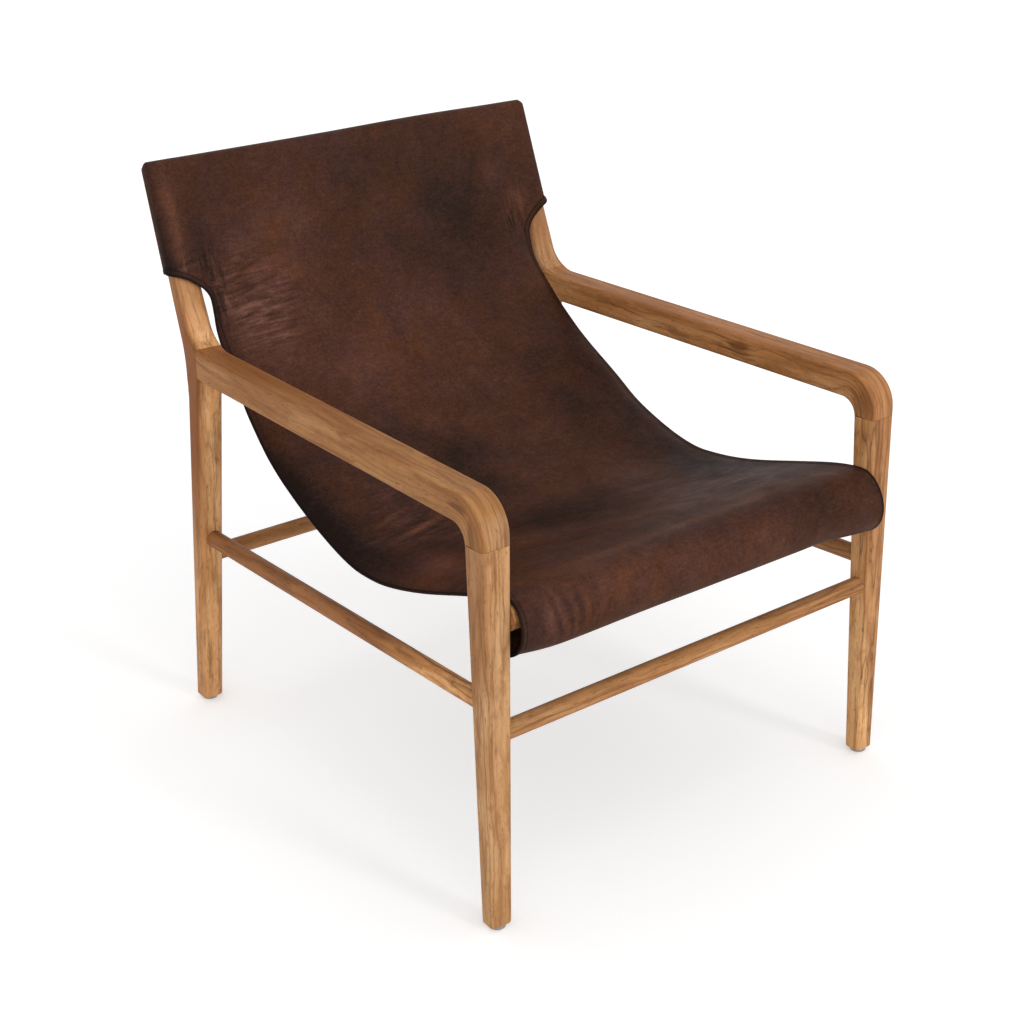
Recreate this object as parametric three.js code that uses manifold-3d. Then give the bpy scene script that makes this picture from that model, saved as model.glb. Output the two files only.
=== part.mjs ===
// Leather sling lounge chair: two toed-in wooden side frames joined by round rods,
// and a leather sling that hangs from a hood over the post tops to a loop round the seat rail.
// Millimetres, +Z up, the chair faces -Y. The origin is under the middle of the chair, on the floor.
import * as THREE from 'three';
import { mergeVertices } from 'three/addons/utils/BufferGeometryUtils.js';
import Module from 'manifold-3d';

const wasm = await Module();
wasm.setup();

// Fits
const FIT = 0.3; // gap between two pieces that touch
const HOOD_EASE = 1; // gap between the leather hood and the posts
const EDGE_GAP = 3; // gap between the sling's side edges and the arms
const SEAT_EDGE_GAP = 1; // gap between the sling's side edges and the front legs
const RAIL_EASE = 0.6; // gap between the seat rail and the leather over it
const SEAM_EASE = 0.8; // gap between the seat and the loop's end sewn under it

// Plan
const FRONT_HALF_SPACING = 324; // centre plane to the middle of a front leg
const REAR_HALF_SPACING = 305; // centre plane to the middle of a back post at its arm joint
const FOOT_SPACING = 710; // front foot to back foot, along the side frame

// Glides
const GLIDE_DIAMETER = 22;
const GLIDE_HEIGHT = 6;
const GLIDE_EDGE = 1.5; // rounding of the glide's lower edge
const NAIL_DIAMETER = 3;
const NAIL_LENGTH = 16;
const NAIL_HEAD_DIAMETER = 8;
const NAIL_HEAD_THICKNESS = 1.6;

// Arms
const STOCK_WIDTH = 41; // arms, leg tops and posts at the arm, across the chair
const ARM_TOP = 558;
const ARM_THICKNESS = 38.5;
const ARM_DROP = 58; // arm top down to its butt joint with the front leg
const CORNER_OUTER_RADIUS = 48;
const CORNER_INNER_RADIUS = 23;
const ARM_BLEND_RADIUS = 45; // hollow between the arm top and the post's front
const EDGE_RADIUS = 6.5; // rounded edges of arms and leg tops
const JOINT_EDGE_RADIUS = 0.8; // nearly square edges where the arm meets the post

// Front legs
const LEG_FRONT = 2; // front face at the joint, behind the middle of the foot
const LEG_DEPTH = 34; // at the joint
const FOOT_DEPTH = 26;
const FOOT_WIDTH = 31;
const FOOT_OFFSET = 3; // middle of the foot, outside the middle of the leg
const FOOT_EDGE_RADIUS = 9;
const END_CHAMFER = 2; // feet and post tops

// Back posts
const BACK_RAKE = 65; // back foot behind the post's front face at the arm
const BACK_FOOT_DEPTH = 31;
const POST_DEPTH = 31; // at the underside of the arm
const POST_SETBACK = 10; // front face of the leaning part behind the arm joint, at the arm top
const POST_LEAN = 20; // degrees from upright, above the arm
const POST_BEND_RADIUS = 150; // hollow of the bend at the back
const SLEEVE_RISE = 95; // arm top up to the lower edge of the hood, at the post's front
const SLEEVE_WIDTH = 36; // post at the lower edge of the hood, across the chair
const SLEEVE_DEPTH = 29; // post at the lower edge of the hood, square to its lean
const POST_REACH = 151.5; // post above the lower edge of the hood, along its lean
const POST_TOP_WIDTH = 31;
const POST_TOP_DEPTH = 27;
const POST_EDGE_RADIUS = 8.5;

// Rods and rails
const ROD_DIAMETER = 24;
const ROD_SOCKET = 18; // depth of a rod's socket
const FRONT_STRETCHER_Z = 260;
const BACK_STRETCHER_Z = 241;
const SIDE_STRETCHER_FRONT_Z = 297;
const SIDE_STRETCHER_REAR_Z = 272;
const SEAT_RAIL_DIAMETER = 38;
const SEAT_RAIL_Y = 13;
const SEAT_RAIL_TOP = 427;
const RAIL_TENON_DIAMETER = 20;
const RAIL_TENON_LENGTH = 20;
const RAIL_SHOULDER_GAP = 0.5; // seat rail's shoulder to the leg's inner face
const CREST_RAIL_DIAMETER = 20;
const CREST_RAIL_RISE = 113.5; // above the lower edge of the hood, along the lean
const CREST_SOCKET = 14;

// Dowels
const DOWEL_DIAMETER = 10;
const DOWEL_DEPTH = 24; // in each of the two pieces
const DOWEL_SPREAD = 20; // between the two dowels of a joint

// Sling
const LEATHER = 3;
const HOOD_WALL = 3.4; // leather of the hood, with its turned edges
const CUTOUT_RADIUS = 30; // hollow corner under the hood's lower edge
const HOOD_EDGE_RADIUS = 3;
const HOOD_OVERLAP = 26; // how far the sling's sheet runs up inside the hood's front
const BACK_REACH = 213; // how far the back keeps the posts' direction
const SEAT_LOW_Y = 322; // lowest line of the seat
const SEAT_LOW_Z = 369;
const SEAT_BACK_ROUND = 28; // how long the low line stays level to the back
const SEAT_FRONT_ROUND = 145; // and to the front
const TAPER_FRONT = 470; // the sling narrows from the seat's width
const TAPER_REAR = 620; // to the gap between the arms
const NOSE_LEVEL = 70; // level run onto the seat rail
const NOSE_OVERHANG = 35; // loop's front before the middle of the seat rail
const LOOP_HEIGHT = 78; // of the loop round the seat rail
const LOOP_SEAM = 80; // seam of the loop's end under the seat, behind the seat rail
const LOOP_BOTTOM_RUN = 45;
const LOOP_END_RUN = 40;
const EDGE_DROOP = 17; // how far the sling's side edges roll down, at the most
const DROOP_WIDTH = 90; // width of the rolled edge

// Facets
const CORNER_STEPS = 3;
const BEND_STEPS = 6;
const JOINT_ROWS = 2; // rows of a post on its arm joint
const BACK_ROWS = 14;
const SEAT_ROWS = 9;
const LOOP_ROWS = 12;
const TAIL_ROWS = 5;
const CURVE_SAMPLES = 80;
const ROD_SIDES = 20;
const SLING_COLUMNS = [-1, -0.9, -0.8, -0.69, -0.35, 0, 0.35, 0.69, 0.8, 0.9, 1];

// Colours
const TEAK = { color: 0xb5814f, roughness: 0.5, metalness: 0 };
const BEECH = { color: 0xd0a878, roughness: 0.6, metalness: 0 };
const HIDE = { color: 0x45291f, roughness: 0.55, metalness: 0 };
const PLASTIC = { color: 0x6d6a66, roughness: 0.5, metalness: 0 };
const STEEL = { color: 0x9a9a98, roughness: 0.35, metalness: 1 };

// Values worked out from the dimensions
const ARM_BOTTOM = ARM_TOP - ARM_THICKNESS;
const JOINT_Z = ARM_TOP - ARM_DROP;
const FOOT_Z = GLIDE_HEIGHT + FIT;
const POST_FRONT = FOOT_SPACING - BACK_RAKE;
const SLEEVE_Z = ARM_TOP + SLEEVE_RISE;
const TOE = Math.asin((FRONT_HALF_SPACING - REAR_HALF_SPACING) / (POST_FRONT + POST_DEPTH / 2));
const LEAN = THREE.MathUtils.degToRad(POST_LEAN);

const lerp = THREE.MathUtils.lerp;
const point = (y, z) => new THREE.Vector2(y, z);

// Turns a closed geometry into a solid for cutting and joining
function solidOf(geometry) {
  const bare = geometry.clone();
  bare.deleteAttribute('normal');
  bare.deleteAttribute('uv');
  const merged = mergeVertices(bare);
  return new wasm.Manifold(new wasm.Mesh({
    numProp: 3,
    vertProperties: new Float32Array(merged.attributes.position.array),
    triVerts: new Uint32Array(merged.index.array),
  }));
}

function geometryOf(solid) {
  const mesh = solid.getMesh();
  const geometry = new THREE.BufferGeometry();
  geometry.setAttribute('position', new THREE.BufferAttribute(mesh.vertProperties, 3));
  geometry.setIndex(new THREE.BufferAttribute(mesh.triVerts, 1));
  return geometry;
}

function cut(geometry, cutters) {
  let solid = solidOf(geometry);
  for (const cutter of cutters) {
    solid = solid.subtract(solidOf(cutter));
  }
  return geometryOf(solid);
}

function join(first, second) {
  return geometryOf(solidOf(first).add(solidOf(second)));
}

// Six times the volume inside the triangles, negative when they face inwards
function signedVolume(positions, index) {
  const corner = (k) => new THREE.Vector3().fromArray(positions, 3 * index[k]);
  let sum = 0;
  for (let k = 0; k < index.length; k += 3) {
    sum += corner(k).dot(corner(k + 1).cross(corner(k + 2)));
  }
  return sum;
}

function closedGeometry(points, triangles) {
  const positions = points.flatMap((p) => [p.x, p.y, p.z]);
  let index = triangles.flat();
  if (signedVolume(positions, index) < 0) {
    index = triangles.flatMap(([a, b, c]) => [a, c, b]);
  }
  const geometry = new THREE.BufferGeometry();
  geometry.setAttribute('position', new THREE.Float32BufferAttribute(positions, 3));
  geometry.setIndex(index);
  return geometry;
}

// Skins a row of convex rings and closes both ends
function loft(rings) {
  const count = rings[0].length;
  const triangles = [];
  for (let i = 0; i + 1 < rings.length; i += 1) {
    for (let j = 0; j < count; j += 1) {
      const a = i * count + j;
      const b = i * count + ((j + 1) % count);
      triangles.push([a, b, b + count], [a, b + count, a + count]);
    }
  }
  const last = (rings.length - 1) * count;
  for (let j = 1; j + 1 < count; j += 1) {
    triangles.push([0, j + 1, j], [last, last + j, last + j + 1]);
  }
  return closedGeometry(rings.flat(), triangles);
}

// A section with round corners: from one side-view point to another, and from low to high across the chair
function section(from, to, low, high, radius, fromRadius = radius) {
  const depth = from.distanceTo(to);
  const along = to.clone().sub(from).normalize();
  const corners = [
    [high - radius, depth - radius, radius],
    [low + radius, depth - radius, radius],
    [low + fromRadius, fromRadius, fromRadius],
    [high - fromRadius, fromRadius, fromRadius],
  ];
  return corners.flatMap(([x, d, r], quarter) => Array.from({ length: CORNER_STEPS + 1 }, (_, k) => {
    const angle = (quarter + k / CORNER_STEPS) * Math.PI / 2;
    const place = from.clone().addScaledVector(along, d + r * Math.sin(angle));
    return new THREE.Vector3(x + r * Math.cos(angle), place.x, place.y);
  }));
}

// A round rod between two points
function rod(start, end, diameter) {
  const axis = end.clone().sub(start);
  const geometry = new THREE.CylinderGeometry(diameter / 2, diameter / 2, axis.length(), ROD_SIDES);
  const turn = new THREE.Quaternion().setFromUnitVectors(new THREE.Vector3(0, 1, 0), axis.clone().normalize());
  geometry.applyQuaternion(turn);
  const middle = start.clone().add(end).multiplyScalar(0.5);
  return geometry.translate(middle.x, middle.y, middle.z);
}

// The socket that a rod fits, with the fit all round and at both ends
function socket(start, end, diameter) {
  const extra = end.clone().sub(start).setLength(FIT);
  return rod(start.clone().sub(extra), end.clone().add(extra), diameter + 2 * FIT);
}

function turned(profile) {
  const points = profile.map(([r, z]) => new THREE.Vector2(r, z));
  return new THREE.LatheGeometry(points, ROD_SIDES).rotateX(Math.PI / 2);
}

function piece(name, geometry, finish) {
  const mesh = new THREE.Mesh(geometry, new THREE.MeshStandardMaterial(finish));
  mesh.name = name;
  return mesh;
}

// Places a side frame's point in the chair: outward from the leg's middle, back from the front foot, up
function sidePoint(side, outward, back, up) {
  const x = FRONT_HALF_SPACING + outward * Math.cos(TOE) - back * Math.sin(TOE);
  return new THREE.Vector3(side * x, outward * Math.sin(TOE) + back * Math.cos(TOE), up);
}

// Moves a geometry made round the middle of a leg to its side of the chair
function toSide(geometry, side) {
  const turn = new THREE.Matrix4().makeRotationZ(side * TOE);
  const place = new THREE.Matrix4().makeTranslation(side * FRONT_HALF_SPACING, 0, 0);
  return geometry.applyMatrix4(place.multiply(turn));
}

// A side frame's section, given by its outward and inward half widths
function sideSection(side, from, to, outer, inner, radius, fromRadius) {
  return side > 0
    ? section(from, to, -inner, outer, radius, fromRadius)
    : section(from, to, -outer, inner, radius, fromRadius);
}

// Front leg: straight faces from the arm joint to the foot
const legShare = (z) => (JOINT_Z - z) / (JOINT_Z - FOOT_Z);
const legFront = (z) => lerp(LEG_FRONT, -FOOT_DEPTH / 2, legShare(z));
const legBack = (z) => lerp(LEG_FRONT + LEG_DEPTH, FOOT_DEPTH / 2, legShare(z));
const legOuter = (z) => lerp(STOCK_WIDTH / 2, FOOT_WIDTH / 2 + FOOT_OFFSET, legShare(z));
const legInner = (z) => lerp(STOCK_WIDTH / 2, FOOT_WIDTH / 2 - FOOT_OFFSET, legShare(z));
const legRadius = (z) => lerp(EDGE_RADIUS, FOOT_EDGE_RADIUS, legShare(z));

function frontLeg(side) {
  const levels = [JOINT_Z - FIT, lerp(JOINT_Z, FOOT_Z, 0.5), FOOT_Z + END_CHAMFER];
  const rings = levels.map((z) => sideSection(
    side, point(legFront(z), z), point(legBack(z), z), legOuter(z), legInner(z), legRadius(z),
  ));
  rings.push(sideSection(
    side,
    point(legFront(FOOT_Z) + END_CHAMFER, FOOT_Z),
    point(legBack(FOOT_Z) - END_CHAMFER, FOOT_Z),
    legOuter(FOOT_Z) - END_CHAMFER,
    legInner(FOOT_Z) - END_CHAMFER,
    FOOT_EDGE_RADIUS - END_CHAMFER,
  ));
  return toSide(loft(rings), side);
}

// Arm: level bar, hollowed up to the post at the back, turned down to the leg at the front
function blendCentre() {
  const slope = Math.tan(LEAN);
  const rise = ARM_BLEND_RADIUS;
  const faceAtCentre = POST_FRONT + POST_SETBACK + rise * slope;
  return point(faceAtCentre - ARM_BLEND_RADIUS / Math.cos(LEAN), ARM_TOP + rise);
}

function armTopAt(y) {
  const centre = blendCentre();
  const run = Math.max(y - centre.x, 0);
  return centre.y - Math.sqrt(ARM_BLEND_RADIUS ** 2 - run ** 2);
}

// Centre of an arc that touches a level line from below and a leg's face from behind
function cornerCentre(level, faceAt, radius) {
  const z = level - radius;
  const slope = faceAt(z) - faceAt(z - 1);
  return point(faceAt(z) + radius * Math.hypot(1, slope), z);
}

function arcPoint(centre, radius, angle) {
  return point(centre.x - radius * Math.sin(angle), centre.y + radius * Math.cos(angle));
}

function arm(side) {
  const half = STOCK_WIDTH / 2;
  const add = (top, bottom) => rings.push(sideSection(side, top, bottom, half, half, EDGE_RADIUS));
  const rings = [];
  const blendStart = blendCentre().x;
  const rear = POST_FRONT - FIT;
  for (let k = 0; k <= BEND_STEPS / 2; k += 1) {
    const y = lerp(rear, blendStart, k / (BEND_STEPS / 2));
    add(point(y, armTopAt(y)), point(y, ARM_BOTTOM));
  }
  const outer = cornerCentre(ARM_TOP, legFront, CORNER_OUTER_RADIUS);
  const inner = cornerCentre(ARM_BOTTOM, legBack, CORNER_INNER_RADIUS);
  const sweep = Math.PI / 2 - Math.atan(legFront(JOINT_Z) - legFront(JOINT_Z - 1));
  for (let k = 0; k <= BEND_STEPS; k += 1) {
    const angle = sweep * k / BEND_STEPS;
    add(arcPoint(outer, CORNER_OUTER_RADIUS, angle), arcPoint(inner, CORNER_INNER_RADIUS, angle));
  }
  add(point(legFront(JOINT_Z), JOINT_Z), point(legBack(JOINT_Z), JOINT_Z));
  return toSide(loft(rings), side);
}

// Back post: faces below the arm, then the arm joint and the leaning part
const postShare = (z) => (ARM_BOTTOM - z) / (ARM_BOTTOM - FOOT_Z);
const postFront = (z) => lerp(POST_FRONT, FOOT_SPACING - BACK_FOOT_DEPTH / 2, postShare(z));
const postBack = (z) => lerp(POST_FRONT + POST_DEPTH, FOOT_SPACING + BACK_FOOT_DEPTH / 2, postShare(z));
const postOuter = (z) => lerp(STOCK_WIDTH / 2, FOOT_WIDTH / 2 + FOOT_OFFSET, postShare(z));
const postInner = (z) => lerp(STOCK_WIDTH / 2, FOOT_WIDTH / 2 - FOOT_OFFSET, postShare(z));

// A point of the leaning part: up along the lean from the hood's lower edge, back from the front face
function leanPoint(up, back) {
  const start = point(POST_FRONT + POST_SETBACK + SLEEVE_RISE * Math.tan(LEAN), SLEEVE_Z);
  const rise = point(Math.sin(LEAN), Math.cos(LEAN));
  const rear = point(Math.cos(LEAN), -Math.sin(LEAN));
  return start.addScaledVector(rise, up).addScaledVector(rear, back);
}

const leanShare = (up) => up / POST_REACH;
const leanDepth = (up) => lerp(SLEEVE_DEPTH, POST_TOP_DEPTH, leanShare(up));
const leanHalfWidth = (up) => lerp(SLEEVE_WIDTH, POST_TOP_WIDTH, leanShare(up)) / 2;

// Back of the post through its bend: an arc between the lower face and the leaning face
function bendPoints() {
  const lower = Math.atan(postBack(ARM_BOTTOM - 1) - postBack(ARM_BOTTOM));
  const turn = LEAN + lower;
  const leanBack = leanPoint(0, leanDepth(0));
  const slope = Math.tan(LEAN);
  const fall = postBack(ARM_BOTTOM - 1) - postBack(ARM_BOTTOM);
  const meetZ = (postBack(0) - leanBack.x + slope * leanBack.y) / (slope + fall);
  const meet = point(postBack(meetZ), meetZ);
  const reach = POST_BEND_RADIUS * Math.tan(turn / 2);
  const start = meet.clone().add(point(Math.sin(lower), -Math.cos(lower)).multiplyScalar(reach));
  const centre = start.clone().add(point(Math.cos(lower), Math.sin(lower)).multiplyScalar(POST_BEND_RADIUS));
  return Array.from({ length: BEND_STEPS + 1 }, (_, k) => {
    const angle = lower - turn * k / BEND_STEPS;
    return point(
      centre.x - POST_BEND_RADIUS * Math.cos(angle),
      centre.y - POST_BEND_RADIUS * Math.sin(angle),
    );
  });
}

// Front of the post beside the bend: the upright arm joint, then the hollow up to the leaning face
function jointPoints() {
  const centre = blendCentre();
  const joint = [
    point(POST_FRONT, ARM_BOTTOM - FIT),
    point(POST_FRONT, armTopAt(POST_FRONT) - EDGE_RADIUS),
  ];
  const from = Math.asin((POST_FRONT - centre.x) / ARM_BLEND_RADIUS);
  const to = Math.PI / 2 - LEAN;
  const steps = BEND_STEPS - JOINT_ROWS;
  const hollow = Array.from({ length: steps + 1 }, (_, k) => {
    const angle = lerp(from, to, k / steps);
    return point(centre.x + ARM_BLEND_RADIUS * Math.sin(angle), centre.y - ARM_BLEND_RADIUS * Math.cos(angle));
  });
  return [...joint, ...hollow];
}

function backPost(side) {
  const rings = [sideSection(
    side,
    point(postFront(FOOT_Z) + END_CHAMFER, FOOT_Z),
    point(postBack(FOOT_Z) - END_CHAMFER, FOOT_Z),
    postOuter(FOOT_Z) - END_CHAMFER,
    postInner(FOOT_Z) - END_CHAMFER,
    FOOT_EDGE_RADIUS - END_CHAMFER,
  )];
  const add = (front, back, outer, inner, radius, frontRadius) => rings.push(
    sideSection(side, front, back, outer, inner, radius, frontRadius),
  );
  const bends = bendPoints();
  for (const z of [FOOT_Z + END_CHAMFER, lerp(FOOT_Z, bends[0].y, 0.5), bends[0].y - POST_DEPTH / 4]) {
    add(point(postFront(z), z), point(postBack(z), z), postOuter(z), postInner(z), POST_EDGE_RADIUS);
  }
  jointPoints().forEach((front, k) => {
    const share = Math.max(k - JOINT_ROWS, 0) / (BEND_STEPS - JOINT_ROWS);
    const width = lerp(STOCK_WIDTH / 2, leanHalfWidth(0), share / 2);
    const frontRadius = k < JOINT_ROWS ? JOINT_EDGE_RADIUS : lerp(EDGE_RADIUS, POST_EDGE_RADIUS, share);
    add(front, bends[k], width, width, POST_EDGE_RADIUS, frontRadius);
  });
  for (const up of [0, POST_REACH - END_CHAMFER]) {
    const width = leanHalfWidth(up);
    add(leanPoint(up, 0), leanPoint(up, leanDepth(up)), width, width, POST_EDGE_RADIUS);
  }
  const width = leanHalfWidth(POST_REACH) - END_CHAMFER;
  const depth = leanDepth(POST_REACH) - END_CHAMFER;
  add(
    leanPoint(POST_REACH, END_CHAMFER),
    leanPoint(POST_REACH, depth),
    width,
    width,
    POST_EDGE_RADIUS - END_CHAMFER,
  );
  return toSide(loft(rings), side);
}

// Ends of the rods that run across the chair, from one side frame to the other
function crossEnds(outward, back, up) {
  return [sidePoint(-1, outward, back, up), sidePoint(1, outward, back, up)];
}

const legMiddle = (z) => (legFront(z) + legBack(z)) / 2;
const postMiddle = (z) => (postFront(z) + postBack(z)) / 2;

const frontStretcherEnds = crossEnds(
  ROD_SOCKET - legInner(FRONT_STRETCHER_Z), legMiddle(FRONT_STRETCHER_Z), FRONT_STRETCHER_Z,
);
const backStretcherEnds = crossEnds(
  ROD_SOCKET - postInner(BACK_STRETCHER_Z), postMiddle(BACK_STRETCHER_Z), BACK_STRETCHER_Z,
);
const crestPlace = leanPoint(CREST_RAIL_RISE, leanDepth(CREST_RAIL_RISE) / 2);
const crestEnds = crossEnds(CREST_SOCKET - leanHalfWidth(CREST_RAIL_RISE), crestPlace.x, crestPlace.y);

const seatRailZ = SEAT_RAIL_TOP - SEAT_RAIL_DIAMETER / 2;
const tenonEnds = crossEnds(RAIL_TENON_LENGTH - legInner(seatRailZ), SEAT_RAIL_Y, seatRailZ);
const shoulderEnds = crossEnds(
  -legInner(seatRailZ + SEAT_RAIL_DIAMETER / 2) - RAIL_SHOULDER_GAP, SEAT_RAIL_Y, seatRailZ,
);

function sideStretcherEnds(side) {
  const front = legBack(SIDE_STRETCHER_FRONT_Z) - ROD_SOCKET;
  const rear = postFront(SIDE_STRETCHER_REAR_Z) + ROD_SOCKET;
  return [
    sidePoint(side, 0, front, SIDE_STRETCHER_FRONT_Z),
    sidePoint(side, 0, rear, SIDE_STRETCHER_REAR_Z),
  ];
}

// Dowels of the two butt joints of an arm
function legDowelEnds(side, offset) {
  const middle = legMiddle(JOINT_Z);
  return [
    sidePoint(side, offset, middle, JOINT_Z - DOWEL_DEPTH),
    sidePoint(side, offset, middle, JOINT_Z + DOWEL_DEPTH),
  ];
}

function postDowelEnds(side, offset) {
  const level = (ARM_BOTTOM + armTopAt(POST_FRONT)) / 2;
  return [
    sidePoint(side, offset, POST_FRONT - DOWEL_DEPTH, level),
    sidePoint(side, offset, POST_FRONT + DOWEL_DEPTH, level),
  ];
}

const dowelOffsets = [-DOWEL_SPREAD / 2, DOWEL_SPREAD / 2];
const dowelSockets = (ends, side) => dowelOffsets.map((offset) => socket(...ends(side, offset), DOWEL_DIAMETER));

// Glides: a pad under each foot and a nail that holds it
const nailSeat = GLIDE_HEIGHT - FIT - NAIL_HEAD_THICKNESS;

function glidePad() {
  const radius = GLIDE_DIAMETER / 2;
  const hole = NAIL_HEAD_DIAMETER / 2 + FIT;
  return turned([
    [0, 0],
    [radius - GLIDE_EDGE, 0],
    [radius, GLIDE_EDGE],
    [radius, GLIDE_HEIGHT],
    [hole, GLIDE_HEIGHT],
    [hole, nailSeat - FIT],
    [0, nailSeat - FIT],
  ]);
}

function glideNail() {
  const shank = NAIL_DIAMETER / 2;
  const head = NAIL_HEAD_DIAMETER / 2;
  const tip = nailSeat + NAIL_LENGTH;
  return turned([
    [0, nailSeat],
    [head, nailSeat],
    [head, nailSeat + NAIL_HEAD_THICKNESS],
    [shank, nailSeat + NAIL_HEAD_THICKNESS],
    [shank, tip - NAIL_DIAMETER],
    [0, tip],
  ]);
}

const feet = [
  ['front_left', sidePoint(-1, FOOT_OFFSET, 0, 0)],
  ['front_right', sidePoint(1, FOOT_OFFSET, 0, 0)],
  ['back_left', sidePoint(-1, FOOT_OFFSET, FOOT_SPACING, 0)],
  ['back_right', sidePoint(1, FOOT_OFFSET, FOOT_SPACING, 0)],
];

function nailHole(foot) {
  const top = foot.clone().setZ(nailSeat + NAIL_LENGTH);
  return socket(foot, top, NAIL_DIAMETER);
}

function sideFrame(side, label) {
  const foot = (end) => nailHole(feet.find(([name]) => name === `${end}_${label}`)[1]);
  const sideRod = socket(...sideStretcherEnds(side), ROD_DIAMETER);
  const legCuts = [
    ...dowelSockets(legDowelEnds, side),
    socket(...frontStretcherEnds, ROD_DIAMETER),
    socket(...tenonEnds, RAIL_TENON_DIAMETER),
    sideRod,
    foot('front'),
  ];
  const postCuts = [
    ...dowelSockets(postDowelEnds, side),
    socket(...backStretcherEnds, ROD_DIAMETER),
    socket(...crestEnds, CREST_RAIL_DIAMETER),
    sideRod,
    foot('back'),
  ];
  const armCuts = [...dowelSockets(legDowelEnds, side), ...dowelSockets(postDowelEnds, side)];
  const group = new THREE.Group();
  group.add(
    piece(`front_leg_${label}`, cut(frontLeg(side), legCuts), TEAK),
    piece(`back_post_${label}`, cut(backPost(side), postCuts), TEAK),
    piece(`arm_${label}`, cut(arm(side), armCuts), TEAK),
    piece(`side_stretcher_${label}`, rod(...sideStretcherEnds(side), ROD_DIAMETER), TEAK),
  );
  dowelOffsets.forEach((offset, k) => {
    const place = k === 0 ? 'inner' : 'outer';
    group.add(
      piece(`arm_leg_dowel_${label}_${place}`, rod(...legDowelEnds(side, offset), DOWEL_DIAMETER), BEECH),
      piece(`arm_post_dowel_${label}_${place}`, rod(...postDowelEnds(side, offset), DOWEL_DIAMETER), BEECH),
    );
  });
  return group;
}

function crossRods() {
  const seatRail = join(
    rod(...shoulderEnds, SEAT_RAIL_DIAMETER), rod(...tenonEnds, RAIL_TENON_DIAMETER),
  );
  const group = new THREE.Group();
  group.add(
    piece('front_stretcher', rod(...frontStretcherEnds, ROD_DIAMETER), TEAK),
    piece('back_stretcher', rod(...backStretcherEnds, ROD_DIAMETER), TEAK),
    piece('front_seat_rail', seatRail, TEAK),
    piece('crest_rail', rod(...crestEnds, CREST_RAIL_DIAMETER), TEAK),
  );
  return group;
}

function glides() {
  const group = new THREE.Group();
  for (const [name, place] of feet) {
    const pad = piece(`glide_pad_${name}`, glidePad(), PLASTIC);
    const nail = piece(`glide_nail_${name}`, glideNail(), STEEL);
    pad.position.copy(place);
    nail.position.copy(place);
    group.add(pad, nail);
  }
  return group;
}

// Hood: a leather pocket over the post tops, open at the back, where its back panel closes it
const hoodTop = POST_REACH + FIT + HOOD_WALL;

function hoodHalfWidth(up) {
  const y = leanPoint(up, leanDepth(up) / 2).x;
  return sidePoint(1, leanHalfWidth(up), y, 0).x + HOOD_EASE;
}

// A section of the hood, grown by some thickness on its front and sides
function hoodSection(up, grow, back, radius) {
  const half = hoodHalfWidth(up) + grow;
  return section(
    leanPoint(up, -HOOD_EASE - grow), leanPoint(up, leanDepth(up) + back), -half, half, radius,
  );
}

function hoodFront() {
  const outer = loft([
    hoodSection(0, HOOD_WALL, HOOD_EASE, HOOD_EDGE_RADIUS),
    hoodSection(hoodTop - HOOD_EDGE_RADIUS, HOOD_WALL, HOOD_EASE, HOOD_EDGE_RADIUS),
    hoodSection(hoodTop, HOOD_WALL - HOOD_EDGE_RADIUS, HOOD_EASE, HOOD_EDGE_RADIUS / 2),
  ]);
  const inside = loft([
    hoodSection(-HOOD_WALL, 0, POST_DEPTH, HOOD_EASE),
    hoodSection(POST_REACH + FIT, 0, POST_DEPTH, HOOD_EASE),
  ]);
  return cut(outer, [inside]);
}

function hoodBackPanel() {
  const ring = (up, inset) => section(
    leanPoint(up, leanDepth(up) + HOOD_EASE + FIT),
    leanPoint(up, leanDepth(up) + HOOD_EASE + FIT + LEATHER),
    inset - hoodHalfWidth(up) - HOOD_WALL,
    hoodHalfWidth(up) + HOOD_WALL - inset,
    LEATHER / 3,
  );
  return loft([ring(0, 0), ring(hoodTop - HOOD_EDGE_RADIUS, 0), ring(hoodTop, HOOD_EDGE_RADIUS)]);
}

// Side view of the sling's mid surface, from inside the hood to the loop's end
const slingStart = leanPoint(0, -HOOD_EASE - HOOD_WALL / 2);
const slingTop = leanPoint(HOOD_OVERLAP, -HOOD_EASE - HOOD_WALL / 2);
const slingLow = point(SEAT_LOW_Y, SEAT_LOW_Z);
const slingNose = point(SEAT_RAIL_Y, SEAT_RAIL_TOP + RAIL_EASE + LEATHER / 2);

function seatCurve() {
  return new THREE.CubicBezierCurve(
    slingLow,
    slingLow.clone().sub(point(SEAT_FRONT_ROUND, 0)),
    slingNose.clone().add(point(NOSE_LEVEL, 0)),
    slingNose,
  );
}

function backCurve() {
  const down = point(-Math.sin(LEAN), -Math.cos(LEAN)).multiplyScalar(BACK_REACH);
  return new THREE.CubicBezierCurve(
    slingStart,
    slingStart.clone().add(down),
    slingLow.clone().add(point(SEAT_BACK_ROUND, 0)),
    slingLow,
  );
}

function loopPoints() {
  const centre = slingNose.clone().sub(point(0, LOOP_HEIGHT / 2));
  return Array.from({ length: LOOP_ROWS + 1 }, (_, k) => {
    const angle = Math.PI * k / LOOP_ROWS;
    return centre.clone().add(
      point(-NOSE_OVERHANG * Math.sin(angle), LOOP_HEIGHT / 2 * Math.cos(angle)),
    );
  });
}

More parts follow.
